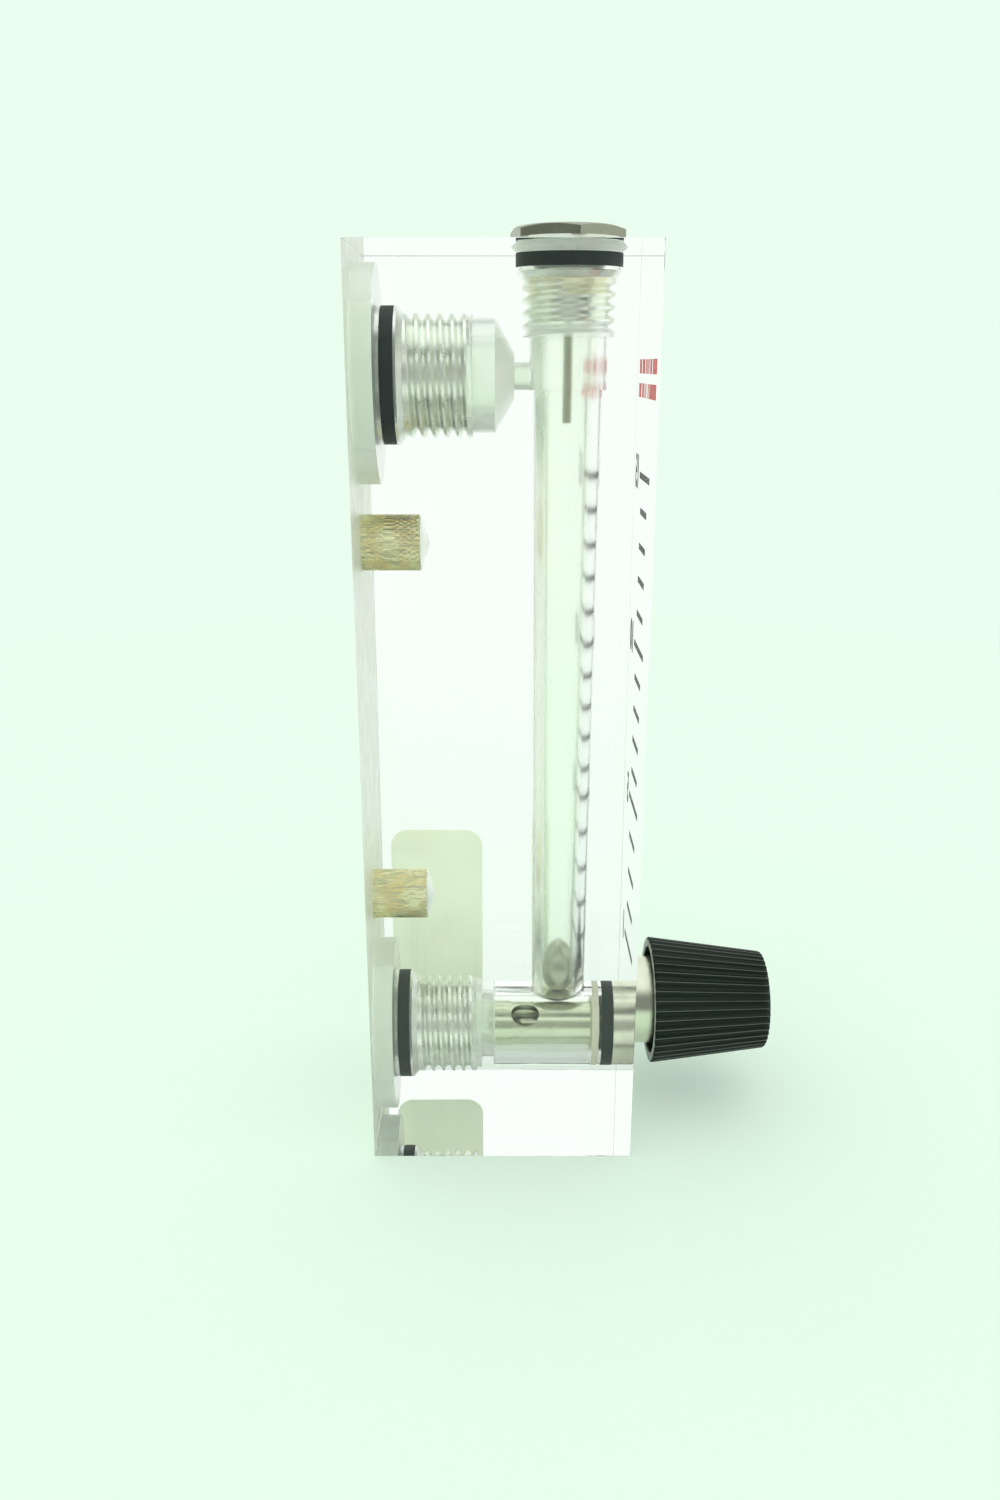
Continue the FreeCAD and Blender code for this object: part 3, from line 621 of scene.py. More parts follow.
def lower_line():
    """The inlet port, the land for the barrel's collar and the valve bore in one solid along X."""
    front = span("body_block")[1][0]
    end, land, past = front - VALVE.port_end, front - VALVE.land_front, front + BLOCK.past
    outline, wave, thread, height = port_wall("inlet_fitting", end)
    outline += [(VALVE.land, end), (VALVE.land, land), (VALVE.bore, land), (VALVE.bore, past), (0, past)]
    return lathe("lower_line", outline, (0, 0, height), AXIAL, wave=wave, closed=False, thread=thread)


def upper_port():
    """The outlet port with its drill point and the passage to the upright bore."""
    outline, wave, thread, height = port_wall("outlet_fitting", PASSAGE.port_end)
    point = PASSAGE.port_end + (PORT.drill - PASSAGE.point) * DRILL_FALL
    outline += [(PASSAGE.point, point), (PASSAGE.radius, point), (PASSAGE.radius, PASSAGE.end), (0, PASSAGE.end)]
    return lathe("upper_port", outline, (0, 0, height), AXIAL, wave=wave, closed=False, thread=thread)


def upright_bore():
    """The plug's gland and thread, the chamber below it and the tapered bore down into the valve bore."""
    ball = span("float_ball")[2]
    top = span("body_block")[1][2]
    start, stop, wave = plug_thread(top)
    before = [
        (0, BORE.foot), (BORE.land, BORE.foot), (BORE.land, BORE.taper_start), (BORE.taper_top, BORE.taper_stop),
        (BORE.chamber, BORE.taper_stop), (BORE.chamber, start)]
    after = [
        (PLUG.gland, top - PLUG.gland_floor), (PLUG.gland, top - PLUG.lip_start), (PLUG.lip, top),
        (PLUG.lip, top + BLOCK.past), (0, top + BLOCK.past)]
    outline, thread = threaded(before, PLUG.thread, sizes().plug_pitch, start, stop, after)
    return lathe("upright_bore", outline, (ball[0], 0, 0), UPRIGHT, wave=wave, closed=False, thread=thread)


class METER_OT_block(bpy.types.Operator):
    """Clear block with broken edges, threaded ports, a tapered bore and the valve bore"""

    bl_idname = "meter.block"
    bl_label = "Clear block"

    def execute(self, context):
        low, high, middle = span("body_block")
        half = (high - low) / 2
        signs = np.array(np.meshgrid((-1, 1), (-1, 1), (-1, 1))).reshape(3, -1).T
        inset = (half[None, :] - BLOCK.broken_edge * (1 - np.eye(3)))[:, None, :]
        points = (inset * signs[None, :, :]).reshape(-1, 3) + middle
        block = surface("clear_block", points, np.empty((0, 3), int))
        hull = bmesh.new()
        hull.from_mesh(block.data)
        bmesh.ops.convex_hull(hull, input=hull.verts)
        bmesh.ops.dissolve_limit(hull, angle_limit=radians(1), verts=hull.verts, edges=hull.edges)
        hull.to_mesh(block.data)
        hull.free()
        block.data.materials.append(acrylic())
        block.data.materials.append(sanded_acrylic())
        for face in block.data.polygons:
            face.material_index = int(face.normal.x < FACING_BACK)
        carve(block, block_cutters())
        finish(block, "meter", "acrylic", None, "body_block")
        return {"FINISHED"}


class METER_OT_fittings(bpy.types.Operator):
    """Flanged port fittings with their threads"""

    bl_idname = "meter.fittings"
    bl_label = "Port fittings"

    def execute(self, context):
        size = sizes()
        metal = turned_metal("Turned steel", colours().steel, 0.3)
        for node in ("inlet_fitting", "outlet_fitting"):
            low, high, middle, flange, ring = port_measures(node)
            mouth, tail = low[0], high[0]
            neck = ring - PORT.neck_cut
            start, _, wave = port_thread(mouth)
            before = [
                (PORT.mouth, mouth + PORT.mouth_bevel), (PORT.mouth_edge, mouth),
                (flange - PORT.flange_bevel, mouth), (flange, mouth + PORT.flange_bevel),
                (flange, mouth + PORT.flange_back),
                (neck, mouth + PORT.flange_back), (neck, mouth + PORT.neck_end)]
            after = [
                (PORT.nose, tail), (PORT.passage, tail), (PORT.passage, mouth + PORT.passage_start),
                (PORT.mouth, mouth + PORT.passage_start)]
            outline, thread = threaded(
                before, PORT.thread + size.thread_bite, size.port_pitch, start, tail - PORT.thread_bevel, after)
            piece = lathe(node + "_turned", outline, (0, 0, middle[2]), AXIAL, wave=wave, thread=thread)
            piece.data.materials.append(metal)
            carve(piece, [pin_hole(node, mouth, middle[2] + side * PORT.pin_height) for side in (-1, 1)])
            finish(piece, "meter", "stainless", None, node)
        return {"FINISHED"}


def pin_hole(node, mouth, height):
    """The solid of a blind hole for a pin spanner in a flange."""
    outline = [
        (0, mouth - BLOCK.past), (PORT.pin, mouth - BLOCK.past), (PORT.pin, mouth + PORT.pin_depth),
        (0, mouth + PORT.pin_point)]
    return lathe(node + "_pin_hole", outline, (0, 0, height), AXIAL, PIN_ROUND, closed=False)


class METER_OT_plug(bpy.types.Operator):
    """Hexagon plug with its thread and stop rod"""

    bl_idname = "meter.plug"
    bl_label = "Top plug"

    def execute(self, context):
        size = sizes()
        low, high, _ = span("top_plug")
        axis = (span("float_stop_rod")[2][0], 0, 0)
        top = span("body_block")[1][2]
        dark = turned_metal("Darkened steel", colours().dark_steel, 0.3, stretch=(1.0, 1.0, 0.1))
        _, stop, wave = plug_thread(top)
        after = [
            (PLUG.neck, top - PLUG.gland_floor), (PLUG.neck, top), (PLUG.disc, top),
            (PLUG.disc_edge, top + PLUG.disc_bevel), (PLUG.disc_edge, top + PLUG.disc_top),
            (0, top + PLUG.disc_top)]
        outline, thread = threaded(
            [(0, low[2]), (PLUG.point, low[2])], PLUG.thread + size.thread_bite, size.plug_pitch,
            low[2] + PLUG.thread_bevel, stop, after)
        shank = lathe("plug_shank", outline, axis, UPRIGHT, wave=wave, closed=False, thread=thread)
        finish(shank, "meter", "stainless", sealed_thread(top), "top_plug")
        section = hexagon_section(top + PLUG.head_start, high[2])
        flats = hexagon_limit(PLUG.flats, HEXAGON_TURN)
        head = lathe("plug_head", section, axis, UPRIGHT, HEXAGON_ROUND, closed=False, limit=flats)
        finish(head, "meter", "stainless", dark)
        drawn = turned_metal("Rod steel", shade(colours().bright_steel, 0.62), 0.3, stretch=(0.05, 0.05, 1.0))
        dress("float_stop_rod", drawn)
        return {"FINISHED"}


def sealed_thread(top):
    """Plug steel with a smear of amber sealant over the cone and the first turns of its thread, and a dull pale
    disc above."""
    made = Finish("Sealed thread")
    height = made.axis("Z")
    high = made.spread(height, top - PLUG.smear_start, top - PLUG.thread_stop, 0.0, 0.8)
    low = made.spread(height, top - PLUG.smear_stop, top - PLUG.smear_gone, 1.0, 0.0)
    smear = made.reckon("MULTIPLY", high, made.spread(made.noise(380.0, 3.0), 0.35, 0.55))
    kept = made.reckon("MULTIPLY", smear, low)
    collar = made.spread(height, top - PLUG.collar, top)
    tint = made.mix(collar, made.mix(kept, colours().steel, colours().sealant), colours().collar)
    metal = made.between(collar, made.spread(kept, 0.0, 1.0, 1.0, 0.5), 0.0)
    return made.close(Base_Color=tint, Metallic=metal, Roughness=0.28, Normal=made.bump(made.noise(2400.0)))


def hexagon_section(low, high):
    """Outline of the hexagon head out to its corners, with a bevel on top."""
    corner = PLUG.flats / 3 ** 0.5
    edge = PLUG.crown
    outline = [(0, low), (corner, low)]
    outline += [(radius, high - (radius - edge) * BEVEL_FALL) for radius in np.linspace(edge, corner, 12)[::-1]]
    return outline + [(edge / 2, high), (0, high)]


def hexagon_limit(flats, tilt):
    """How far out six flats let a point be: half the distance over flats, over the cosine of the angle from the
    nearest flat's middle."""

    def limit(turn):
        angle = 2 * pi * turn - radians(tilt - 90) - SIXTH / 2
        local = (angle + SIXTH / 2) % SIXTH - SIXTH / 2
        return flats / 2 / np.cos(local)

    return limit


class METER_OT_rings(bpy.types.Operator):
    """Sealing rings of ports, plug and bonnet, and the backup ring"""

    bl_idname = "meter.rings"
    bl_label = "Sealing rings"

    def execute(self, context):
        black = rubber()
        for node in ("inlet_o_ring", "outlet_o_ring", "bonnet_o_ring"):
            low, high, middle = span(node)
            radius = (high[1] - low[1]) / 2 + RING.gap
            section = high[0] - low[0]
            outline = ring_outline(radius, radius - section, section + RING.widening, middle[0] + RING.shift)
            press_ring(node, outline, (0, 0, middle[2]), AXIAL, "black_rubber", black)
        middle = span("top_plug_o_ring")[2]
        outline = ring_outline(PLUG.gland, RING.plug_hole, RING.plug_width, middle[2] - RING.plug_drop)
        press_ring("top_plug_o_ring", outline, (middle[0], 0, 0), UPRIGHT, "black_rubber", black)
        low, high, middle = span("bonnet_backup_ring")
        outline = ring_outline(VALVE.bore, RING.backup_hole, high[0] - low[0], middle[0])
        press_ring("bonnet_backup_ring", outline, (0, 0, middle[2]), AXIAL, "amber_plastic", amber_plastic())
        dress("stem_o_ring", black)
        return {"FINISHED"}


def press_ring(node, outline, centre, basis, slot, material):
    """A ring of the given outline that stands for a CAD node."""
    finish(lathe(node + "_pressed", outline, centre, basis), "meter", slot, material, node)


def amber_plastic():
    """Cloudy amber plastic."""
    made = Finish("Amber plastic")
    amber = colours().amber
    tint = made.mix(made.noise(800.0), amber, shade(amber, 0.82))
    return made.close(Base_Color=tint, Roughness=0.4, Normal=made.bump(made.noise(2000.0)))


class METER_OT_inserts(bpy.types.Operator):
    """Knurled mounting inserts"""

    bl_idname = "meter.inserts"
    bl_label = "Mounting inserts"

    def execute(self, context):
        size = sizes()
        brass = colours().brass
        for node, base, slot in (("lower_insert", shade(brass, 1.08), "brass"), ("upper_insert", brass, "bronze")):
            low, high, middle = span(node)
            walls = [(low[0], middle[0] - INSERT.half_groove), (middle[0] + INSERT.half_groove, high[0])]
            outline = [(INSERT.bore, low[0] + INSERT.mouth_bevel), (INSERT.mouth, low[0])]
            for start, stop in walls:
                outline += run((high[1] - low[1]) / 2, start, stop, INSERT.row)
            outline += [(INSERT.bore, high[0])]
            wave = knurl_wave(size, walls)
            piece = lathe(node + "_knurled", outline, (0, 0, middle[2]), AXIAL, KNURL_ROUND, wave)
            finish(piece, "meter", slot, knurled_brass(node.replace("_", " ").capitalize(), base), node)
        return {"FINISHED"}


def knurled_brass(name, base):
    """Brass with tan stained patches, and darker streaks along the axis that are painted shade for the knurl's
    grooves.
    """
    made = Finish(name)
    cloud = made.spread(made.noise(420.0, 4.0), 0.42, 0.6)
    # Painted shade: darker streaks along the axis that stand in for the shade in the knurl's grooves
    painted_groove_shade = made.spread(made.noise(3200.0, 2.0, (0.15, 1.0, 1.0)), 0.46, 0.62)
    tint = made.mix(painted_groove_shade, made.mix(cloud, base, colours().tan), shade(base, 0.66))
    return made.close(Base_Color=tint, Metallic=1.0, Roughness=0.32, Normal=made.bump(made.noise(2400.0)))


def knurl_wave(size, walls):
    """Diamond knurl: the depth where two families of opposite spirals meet, inside the two walls only, and the
    plain groove between them."""

    def wave(turn, along):
        first, second = (
            np.abs(((turn * size.knurls + way * along / INSERT.knurl_pitch / 2) % 1.0) * 2 - 1) for way in (1, -1))
        tooth = 1 - np.minimum(first, second)
        inside = np.zeros_like(along)
        for start, stop in walls:
            depth = np.minimum(along - start, stop - along) / INSERT.knurl_edge
            inside = np.maximum(inside, np.clip(depth + 0.4, 0, 1))
        between = (along > walls[0][1] + BLOCK.doubles) & (along < walls[1][0] - BLOCK.doubles)
        return size.knurl_depth * tooth * (inside > 0) + np.where(between, INSERT.groove_depth, 0)

    return wave


class METER_OT_valve(bpy.types.Operator):
    """Bonnet that wets the block at its neck, and finishes of the valve's other pieces"""

    bl_idname = "meter.valve"
    bl_label = "Needle valve"

    def execute(self, context):
        bright = turned_metal("Valve steel", colours().bright_steel, 0.24)
        low, high, middle = span("valve_bonnet")
        face = span("body_block")[1][0]
        back, front = low[0], high[0]
        wetted = VALVE.bore + sizes().ring_bite
        outside = (high[1] - low[1]) / 2
        outline = [
            (VALVE.stem_hole, back), (VALVE.spigot, back), (VALVE.spigot, back + VALVE.spigot_end),
            (VALVE.gland, back + VALVE.spigot_end), (VALVE.gland, face - VALVE.gland_end),
            (wetted, face - VALVE.gland_end), (wetted, face), (outside, face), (outside, front - VALVE.bevel),
            (outside - VALVE.bevel, front), (VALVE.well, front), (VALVE.well, front - VALVE.groove_top),
            (VALVE.groove, front - VALVE.groove_top), (VALVE.groove, front - VALVE.groove_floor),
            (VALVE.well, front - VALVE.groove_floor), (VALVE.well, front - VALVE.well_floor),
            (VALVE.stem_hole, front - VALVE.well_floor)]
        bonnet = lathe("bonnet_turned", outline, (0, 0, middle[2]), AXIAL)
        finish(bonnet, "meter", "stainless_bright", bright, "valve_bonnet")
        for node in ("valve_barrel", "valve_stem", "stem_retaining_ring"):
            dress(node, bright)
        dress("valve_seat", turned_metal("Bored brass", colours().brass, 0.25))
        dress("knob_bush", turned_metal("Bush brass", colours().brass, 0.3))
        screw = turned_metal("Screw steel", shade(colours().steel, 0.6), 0.35, stretch=(0.05, 1.0, 0.05))
        dress("knob_set_screw", screw)
        return {"FINISHED"}


class METER_OT_float(bpy.types.Operator):
    """Polished ball float"""

    bl_idname = "meter.float_ball"
    bl_label = "Float"

    def execute(self, context):
        low, high, middle = span("float_ball")
        radius = (high[0] - low[0]) / 2
        angle = np.linspace(-pi / 2, pi / 2, 65)
        outline = np.column_stack((radius * np.cos(angle), middle[2] + radius * np.sin(angle)))
        ball = lathe("ball", outline, (middle[0], 0, 0), UPRIGHT, SMALL_ROUND, closed=False)
        made = Finish("Ball steel")
        steel = colours().bright_steel
        cloud = made.spread(made.noise(500.0, 3.0), 0.4, 0.7)
        tint = made.mix(cloud, shade(steel, 0.62), shade(steel, 0.48))
        grain = made.bump(made.noise(900.0), 0.006 * MM)
        metal = made.close(Base_Color=tint, Metallic=1.0, Roughness=0.32, Normal=grain)
        finish(ball, "float", "stainless_bright", metal, "float_ball")
        return {"FINISHED"}


class METER_OT_knob(bpy.types.Operator):
    """Ribbed knob, hollow at the back, with its screw hole"""

    bl_idname = "meter.knob"
    bl_label = "Knob"

    def execute(self, context):
        size = sizes()
        low, high, middle = span("knob")
        rim, tip = low[0], high[0]
        outer = (high[2] - low[2]) / 2
        end = KNOB.end
        floor = rim + KNOB.recess
        bush_end = floor + KNOB.bush_depth
        tip_rows = [(0, tip)] + [(end - inward * MM, tip - down * MM) for inward, down, _ in TIP_ROUNDING]
        along = np.linspace(tip - KNOB.tip_round, rim + KNOB.rim_round, 24)
        slope = (outer - end) / (tip - rim)
        side_rows = np.column_stack((end + (tip - along) * slope, along)).tolist()
        side_rows.append((outer - KNOB.rim_edge, rim + KNOB.rim_low))
        back_rows = [
            (outer - KNOB.rim_flat, rim), (KNOB.hollow_edge, rim), (KNOB.hollow, rim + KNOB.hollow_bevel),
            (KNOB.hollow_floor, floor), (KNOB.bush, floor), (KNOB.bush, bush_end), (0, bush_end)]
        shares = [0] + [share for _, _, share in TIP_ROUNDING] + [1] * len(side_rows) + [0] * len(back_rows)
        knob = lathe(
            "ribbed_knob", tip_rows + side_rows + back_rows, (0, 0, middle[2]), AXIAL, size.ribs * RIB_ROUND,
            rib_wave(size, shares), closed=False)
        knob.data.materials.append(knob_plastic(rim, tip, outer, end, middle[2]))
        screw = span("knob_set_screw")[2]
        start, stop = KNOB.screw_start, KNOB.screw_stop
        hole = [(0, start), (KNOB.screw, start), (KNOB.screw, stop), (0, stop)]
        carve(knob, [lathe("screw_hole", hole, (screw[0], 0, screw[2]), ACROSS, PIN_ROUND, closed=False)])
        finish(knob, "knob_and_stem", "black_plastic", None, "knob")
        return {"FINISHED"}


def rib_wave(size, shares):
    """Concave flutes between sharp ribs: the depth is a sine arch between neighbouring ribs, times a share for
    each row of the outline."""
    shares = np.array(shares, float)[:, None]

    def wave(turn, along):
        return size.rib_depth * np.abs(np.sin(pi * turn * size.ribs)) ** FLUTE_ROUNDNESS * shares

    return wave


def rib_crests(made, rim, tip, outer, end, height):
    """One on the ribs' crests and nought in the flutes, from the distance to the knob's axis less its taper."""
    flat = made.reckon("MULTIPLY", made.place, (0, 1, 1), kind="ShaderNodeVectorMath", result="Vector")
    offset = made.reckon("DISTANCE", flat, (0, 0, height), kind="ShaderNodeVectorMath", result="Value")
    gap = made.reckon("SUBTRACT", made.spread(made.axis("X"), rim, tip, outer, end), offset)
    return made.spread(gap, KNOB.crest, KNOB.flute, 1.0, 0.0)


def knob_plastic(rim, tip, outer, end, height):
    """Black moulded plastic, pale at the rim from wear and a painted highlight together, with painted highlights
    along the ribs' crests.
    """
    made = Finish("Knob plastic")
    # Pale paint on the back face at the rim: partly wear, partly a painted highlight, patchy by noise
    back = made.spread(made.axis("X"), rim + KNOB.worn_start, rim + KNOB.worn_stop, 1.0, 0.0)
    rim_wear_and_highlight = made.reckon("MULTIPLY", back, made.spread(made.noise(500.0, 4.0), 0.3, 0.6, 0.35, 1.0))
    # Painted highlight: thin pale lines along the ribs' crests
    crests = rib_crests(made, rim, tip, outer, end, height)
    tint = made.mix(rim_wear_and_highlight, made.mix(crests, colours().knob, shade(colours().wear_and_highlight, 0.3)), colours().wear_and_highlight)
    rough = made.spread(made.noise(900.0), 0.3, 0.7, 0.3, 0.46)
    grain = made.bump(made.noise(2500.0), strength=0.5)
    return made.close(Base_Color=tint, Roughness=rough, Specular_IOR_Level=0.3, Normal=grain)


def ink_finish(name, tone):
    """Printing ink, matt, with a slightly uneven film."""
    made = Finish(name)
    tint = made.mix(made.spread(made.noise(1500.0), 0.35, 0.7), tone, shade(tone, 1.6))
    return made.close(Base_Color=tint, Roughness=0.5, Normal=made.bump(made.noise(2500.0), 0.004 * MM))


def plates(name, rows, face, thickness):
    """Flat rectangular prints on the front face: each row is centre y, centre z, width and height, and each
    becomes a box from just inside the face to its thickness outside."""
    rows = np.array(rows, float)
    y = rows[:, :1] + rows[:, 2:3] / 2 * np.array([-1, 1, 1, -1])
    z = rows[:, 1:2] + rows[:, 3:4] / 2 * np.array([-1, -1, 1, 1])
    layers = [np.stack((np.full(y.shape, x), y, z), axis=-1) for x in (face - thickness, face + thickness)]
    points = np.concatenate(layers, axis=1).reshape(-1, 3)
    box = np.array([[0, 1, 2, 3], [4, 5, 6, 7], [0, 1, 5, 4], [1, 2, 6, 5], [2, 3, 7, 6], [3, 0, 4, 7]])
    faces = (box[None] + 8 * np.arange(len(rows))[:, None, None]).reshape(-1, 4)
    return surface(name, points, faces)


class METER_OT_scale(bpy.types.Operator):
    """Scale marks, numbers and dashes printed on the front face"""

    bl_idname = "meter.scale"
    bl_label = "Printed scale"

    def execute(self, context):
        size = sizes()
        face = span("body_block")[1][0]
        rows = [(0, z * MM, size.long_tick, size.tick) for z in LONG_MARKS]
        rows += [(0, z * MM, size.short_tick, size.tick) for z in SHORT_MARKS]
        black = ink_finish("Black ink", colours().ink)
        finish(plates("scale_marks", rows, face, size.ink), "meter", "black_plastic", black)
        for text, z in zip(FIGURES, LONG_MARKS):
            finish(figure(text, face, z * MM), "meter", "black_plastic", black)
        red = ink_finish("Red ink", colours().red_ink)
        lines = ((PRINT.upper_dashes, UPPER_DASHES), (PRINT.lower_dashes, LOWER_DASHES))
        dashes = [(y * MM, height, width * MM, PRINT.dash) for height, line in lines for y, width in line]
        finish(plates("red_dashes", dashes, face, size.ink), "meter", "black_plastic", red)
        return {"FINISHED"}


def figure(text, face, height):
    """A scale number on the front face, right of its mark, as a thin mesh."""
    size = sizes()
    curve = bpy.data.curves.new("number", "FONT")
    curve.body = text
    curve.size = size.figure * 1.4
    curve.extrude = size.ink
    curve.offset = PRINT.figure_swell
    curve.resolution_u = 6
    curve.align_x = "LEFT"
    curve.align_y = "CENTER"
    holder = bpy.data.objects.new("number", curve)
    bpy.context.collection.objects.link(holder)
    graph = bpy.context.evaluated_depsgraph_get()
    mesh = bpy.data.meshes.new_from_object(holder.evaluated_get(graph))
    bpy.data.objects.remove(holder)
    place = AXIAL.to_4x4()
    place.translation = (face, PRINT.figure_place, height)
    mesh.transform(place)
    piece = bpy.data.objects.new("number_" + text, mesh)
    bpy.context.collection.objects.link(piece)
    return piece


class METER_OT_label(bpy.types.Operator):
    """Blank paper label stuck to the far side"""

    bl_idname = "meter.label"
    bl_label = "Side label"

    def execute(self, context):
        low, high, middle = span("side_label")
        half = (high - low) / 2
        angle = np.radians(np.arange(0, 90, 7.5))
        quarter = np.column_stack((np.cos(angle), np.sin(angle)))
        turns = [quarter, quarter[:, ::-1] * (-1, 1), -quarter, quarter[:, ::-1] * (1, -1)]
        centres = [(1, 1), (-1, 1), (-1, -1), (1, -1)]
        inner = half[[0, 2]] - LABEL.corner
        arcs = zip(np.array(centres), turns)
        edge = np.concatenate([centre * inner + LABEL.corner * turn for centre, turn in arcs])
        rows = []
        front = low[1] + LABEL.back_gap
        for y, inset in ((front, 0), (high[1] - LABEL.bevel_low, 0), (high[1], LABEL.bevel)):
            ring = edge * (1 - inset / half[[0, 2]])
            rows.append(np.column_stack((middle[0] + ring[:, 0], np.full(len(ring), y), middle[2] + ring[:, 1])))
        count = len(edge)
        ends = [np.tile((middle[0], y, middle[2]), (count, 1)) for y in (front, high[1])]
        points = np.concatenate([ends[0], *rows, ends[1]])
        label = surface("blank_label", points, grid_faces(5, count, False))
        finish(label, "meter", "paper", label_paper(), "side_label")
        return {"FINISHED"}


def label_paper():
    """Faintly clouded paper that lets some light through from behind."""
    made = Finish("Label paper")
    paper = colours().paper
    cloud = made.spread(made.noise(160.0, 4.0), 0.35, 0.7)
    tint = made.mix(cloud, paper, shade(paper, 0.97))
    grain = made.bump(made.noise(3000.0, 3.0), 0.008 * MM)
    front_light = made.node("ShaderNodeBsdfPrincipled", Base_Color=tint, Roughness=0.8, Normal=grain)
    back_light = made.node("ShaderNodeBsdfTranslucent", Color=tint)
    both = made.node("ShaderNodeMixShader", n0=0.6, n1=front_light.outputs[0], n2=back_light.outputs[0])
    made.tree.links.new(both.outputs[0], made.output.inputs["Surface"])
    return made.material


class METER_OT_stage(bpy.types.Operator):
    """Pale floor and backdrop, soft light and the camera"""

    bl_idname = "meter.stage"
    bl_label = "Stage"

    def execute(self, context):
        scene = context.scene
        scene.view_settings.view_transform = "Standard"
        make_floor()
        make_world(scene)
        lamp("Overhead", LAMP_PLACE, LAMP_SIZE, LAMP_POWER)
        camera = bpy.data.cameras.new("Camera")
        camera.lens = CAMERA_LENS
        camera.clip_start = CAMERA_START
        holder = bpy.data.objects.new("Camera", camera)
        holder.location = CAMERA_PLACE
        holder.rotation_euler = (radians(90 - CAMERA_TILT), 0, 0)
        scene.collection.objects.link(holder)
        scene.camera = holder
        return {"FINISHED"}


def lamp(name, place, size, power):
    """A square soft light that points down."""
    light = bpy.data.lights.new(name, "AREA")
    light.size = size
    light.energy = power
    holder = bpy.data.objects.new(name, light)
    holder.location = place
    bpy.context.scene.collection.objects.link(holder)


def make_floor():
    """A disc that keeps the shadow near the meter and fades into the backdrop further out."""
    radius = np.linspace(0, FLOOR_RADIUS, FLOOR_RINGS)
    outline = np.column_stack((radius, np.full(FLOOR_RINGS, -FLOOR_DROP)))
    floor = lathe("floor", outline, (0, 0, 0), UPRIGHT, SMALL_ROUND, closed=False)
    made = Finish("Floor")
    through = made.node("ShaderNodeLightPath").outputs["Is Transmission Ray"]
    tint = made.mix(through, colours().backdrop, colours().floor_through)
    matt = made.node("ShaderNodeBsdfDiffuse", Color=tint)
    glow = made.node("ShaderNodeEmission", Color=tint)
    paper = made.node("ShaderNodeMixShader", n0=FLOOR_GLOW, n1=matt.outputs[0], n2=glow.outputs[0])
    clear = made.node("ShaderNodeBsdfTransparent")
    fade = made.spread(made.reckon("LENGTH", made.place, kind="ShaderNodeVectorMath", result="Value"), *FLOOR_FADE)
    mix = made.node("ShaderNodeMixShader", n0=fade, n1=paper.outputs[0], n2=clear.outputs[0])
    made.tree.links.new(mix.outputs[0], made.output.inputs["Surface"])
    floor.data.materials.append(made.material)


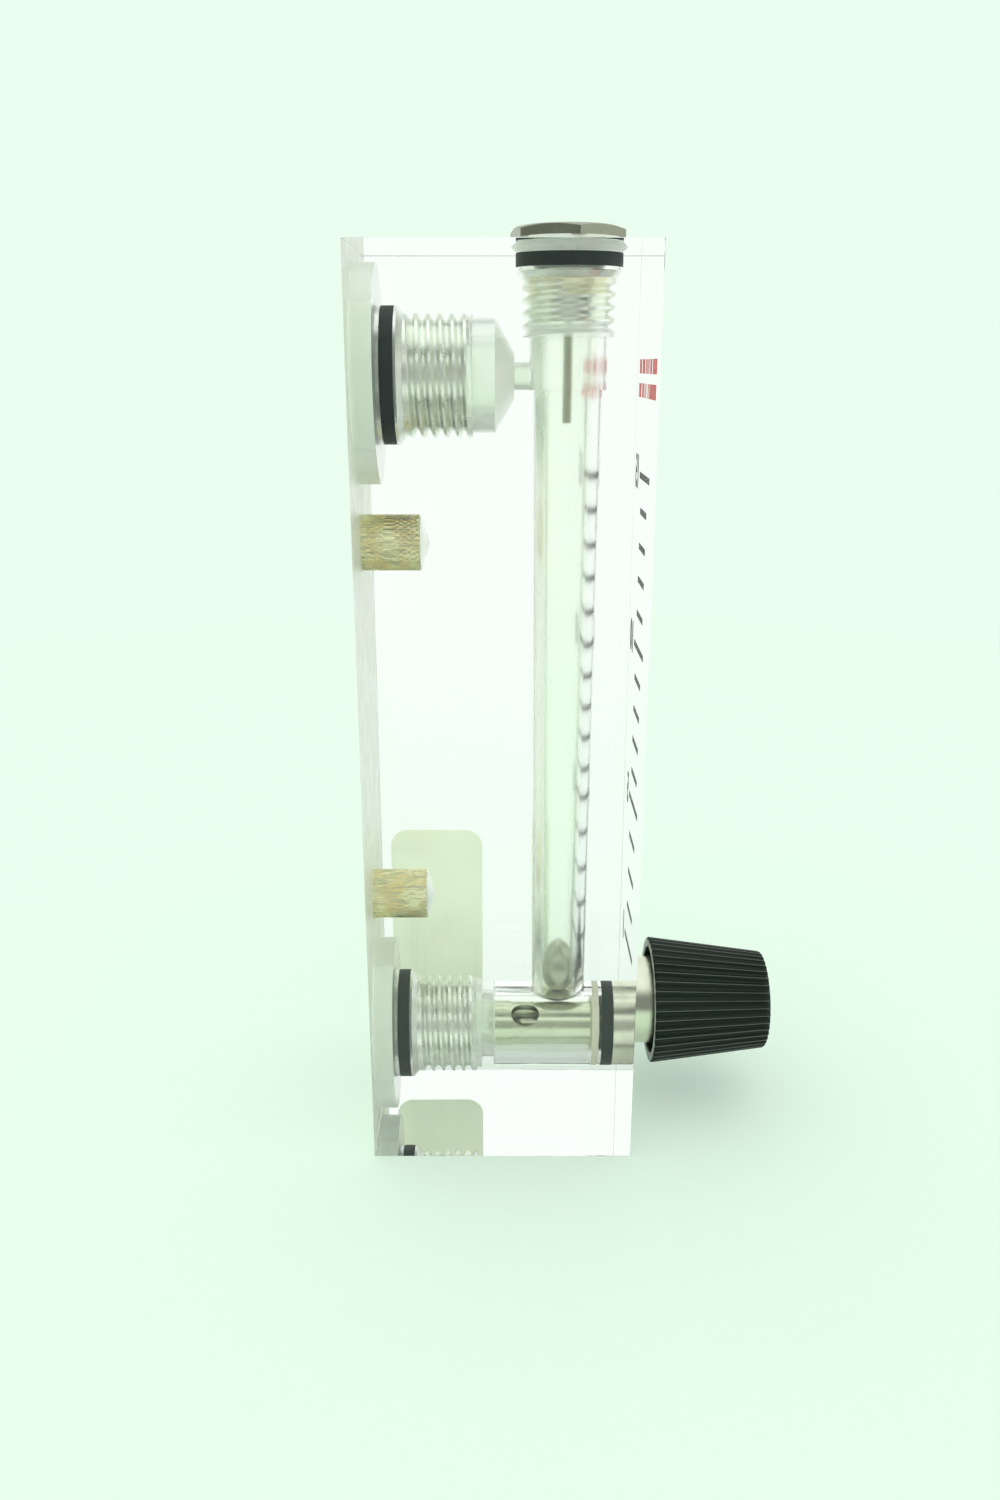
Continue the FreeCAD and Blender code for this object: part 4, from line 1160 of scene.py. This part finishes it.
def make_world(scene):
    """An even pale room: plain for what the camera sees, with a dim patch in front of the meter for what metal
    and clear pieces show."""
    world = bpy.data.worlds.new("Room")
    scene.world = world
    world.use_nodes = True
    tree = world.node_tree
    tree.nodes.clear()
    link = tree.links.new
    new = tree.nodes.new
    path = new("ShaderNodeLightPath").outputs
    clear = path["Is Transmission Ray"]
    way = new("ShaderNodeTexCoord").outputs["Generated"]
    toward = new("ShaderNodeMapRange")
    toward.interpolation_type = "SMOOTHSTEP"
    for name, edge in zip(("From Min", "From Max"), PATCH_EDGES):
        toward.inputs[name].default_value = edge
    facing = reckon(tree, "DOT_PRODUCT", way, PATCH_WAY, kind="ShaderNodeVectorMath", result="Value")
    link(facing, toward.inputs["Value"])
    depth = reckon(tree, "MULTIPLY_ADD", clear, PATCH_DEPTH_CLEAR, PATCH_DEPTH)
    patch = reckon(tree, "MULTIPLY", toward.outputs["Result"], depth)
    sharp = reckon(tree, "MAXIMUM", path["Is Glossy Ray"], clear)
    seen = reckon(tree, "MULTIPLY", sharp, reckon(tree, "LESS_THAN", path["Diffuse Depth"], 0.5))
    level = reckon(tree, "MULTIPLY_ADD", clear, CLEAR_GAIN, 1.0)
    dimmed = reckon(tree, "SUBTRACT", 1.0, reckon(tree, "MULTIPLY", patch, seen))
    mix = new("ShaderNodeMixShader")
    link(path["Is Camera Ray"], mix.inputs[0])
    for socket, tint in enumerate((colours().room, colours().backdrop), 1):
        background = new("ShaderNodeBackground")
        background.inputs["Color"].default_value = rgba(tint)
        link(background.outputs[0], mix.inputs[socket])
        if socket == 1:
            link(reckon(tree, "MULTIPLY", level, dimmed), background.inputs["Strength"])
    link(mix.outputs[0], new("ShaderNodeOutputWorld").inputs["Surface"])


def reckon(tree, operation, *values, kind="ShaderNodeMath", result=0):
    """The result of a sum on sockets, numbers or vectors."""
    made = tree.nodes.new(kind)
    made.operation = operation
    for place, value in enumerate(values):
        if isinstance(value, bpy.types.NodeSocket):
            tree.links.new(value, made.inputs[place])
        else:
            made.inputs[place].default_value = value
    return made.outputs[result]


OPERATORS = (
    METER_OT_stage, METER_OT_block, METER_OT_fittings, METER_OT_plug, METER_OT_rings, METER_OT_inserts,
    METER_OT_valve, METER_OT_float, METER_OT_knob, METER_OT_scale, METER_OT_label)


class METER_PT_panel(bpy.types.Panel):
    """Lists the pieces of the flow meter"""

    bl_idname = "METER_PT_panel"
    bl_label = "Flow Meter"
    bl_space_type = "VIEW_3D"
    bl_region_type = "UI"
    bl_category = "Flow Meter"

    def draw(self, context):
        for operator in OPERATORS:
            self.layout.operator(operator.bl_idname)
        for group in (context.scene.meter_sizes, context.scene.meter_colours):
            for name in group.__annotations__:
                self.layout.prop(group, name)


CLASSES = (MeterSizes, MeterColours, *OPERATORS, METER_PT_panel)


def register():
    """Registers the classes and hangs the sizes and colours on the scene."""
    for item in CLASSES:
        bpy.utils.register_class(item)
    bpy.types.Scene.meter_sizes = PointerProperty(type=MeterSizes)
    bpy.types.Scene.meter_colours = PointerProperty(type=MeterColours)


def unregister():
    """Undoes register."""
    del bpy.types.Scene.meter_colours
    del bpy.types.Scene.meter_sizes
    for item in reversed(CLASSES):
        bpy.utils.unregister_class(item)


def main():
    """Builds the stage and every piece in order."""
    register()
    for operator in OPERATORS:
        group, name = operator.bl_idname.split(".")
        getattr(getattr(bpy.ops, group), name)()


if __name__ == "__main__":
    main()
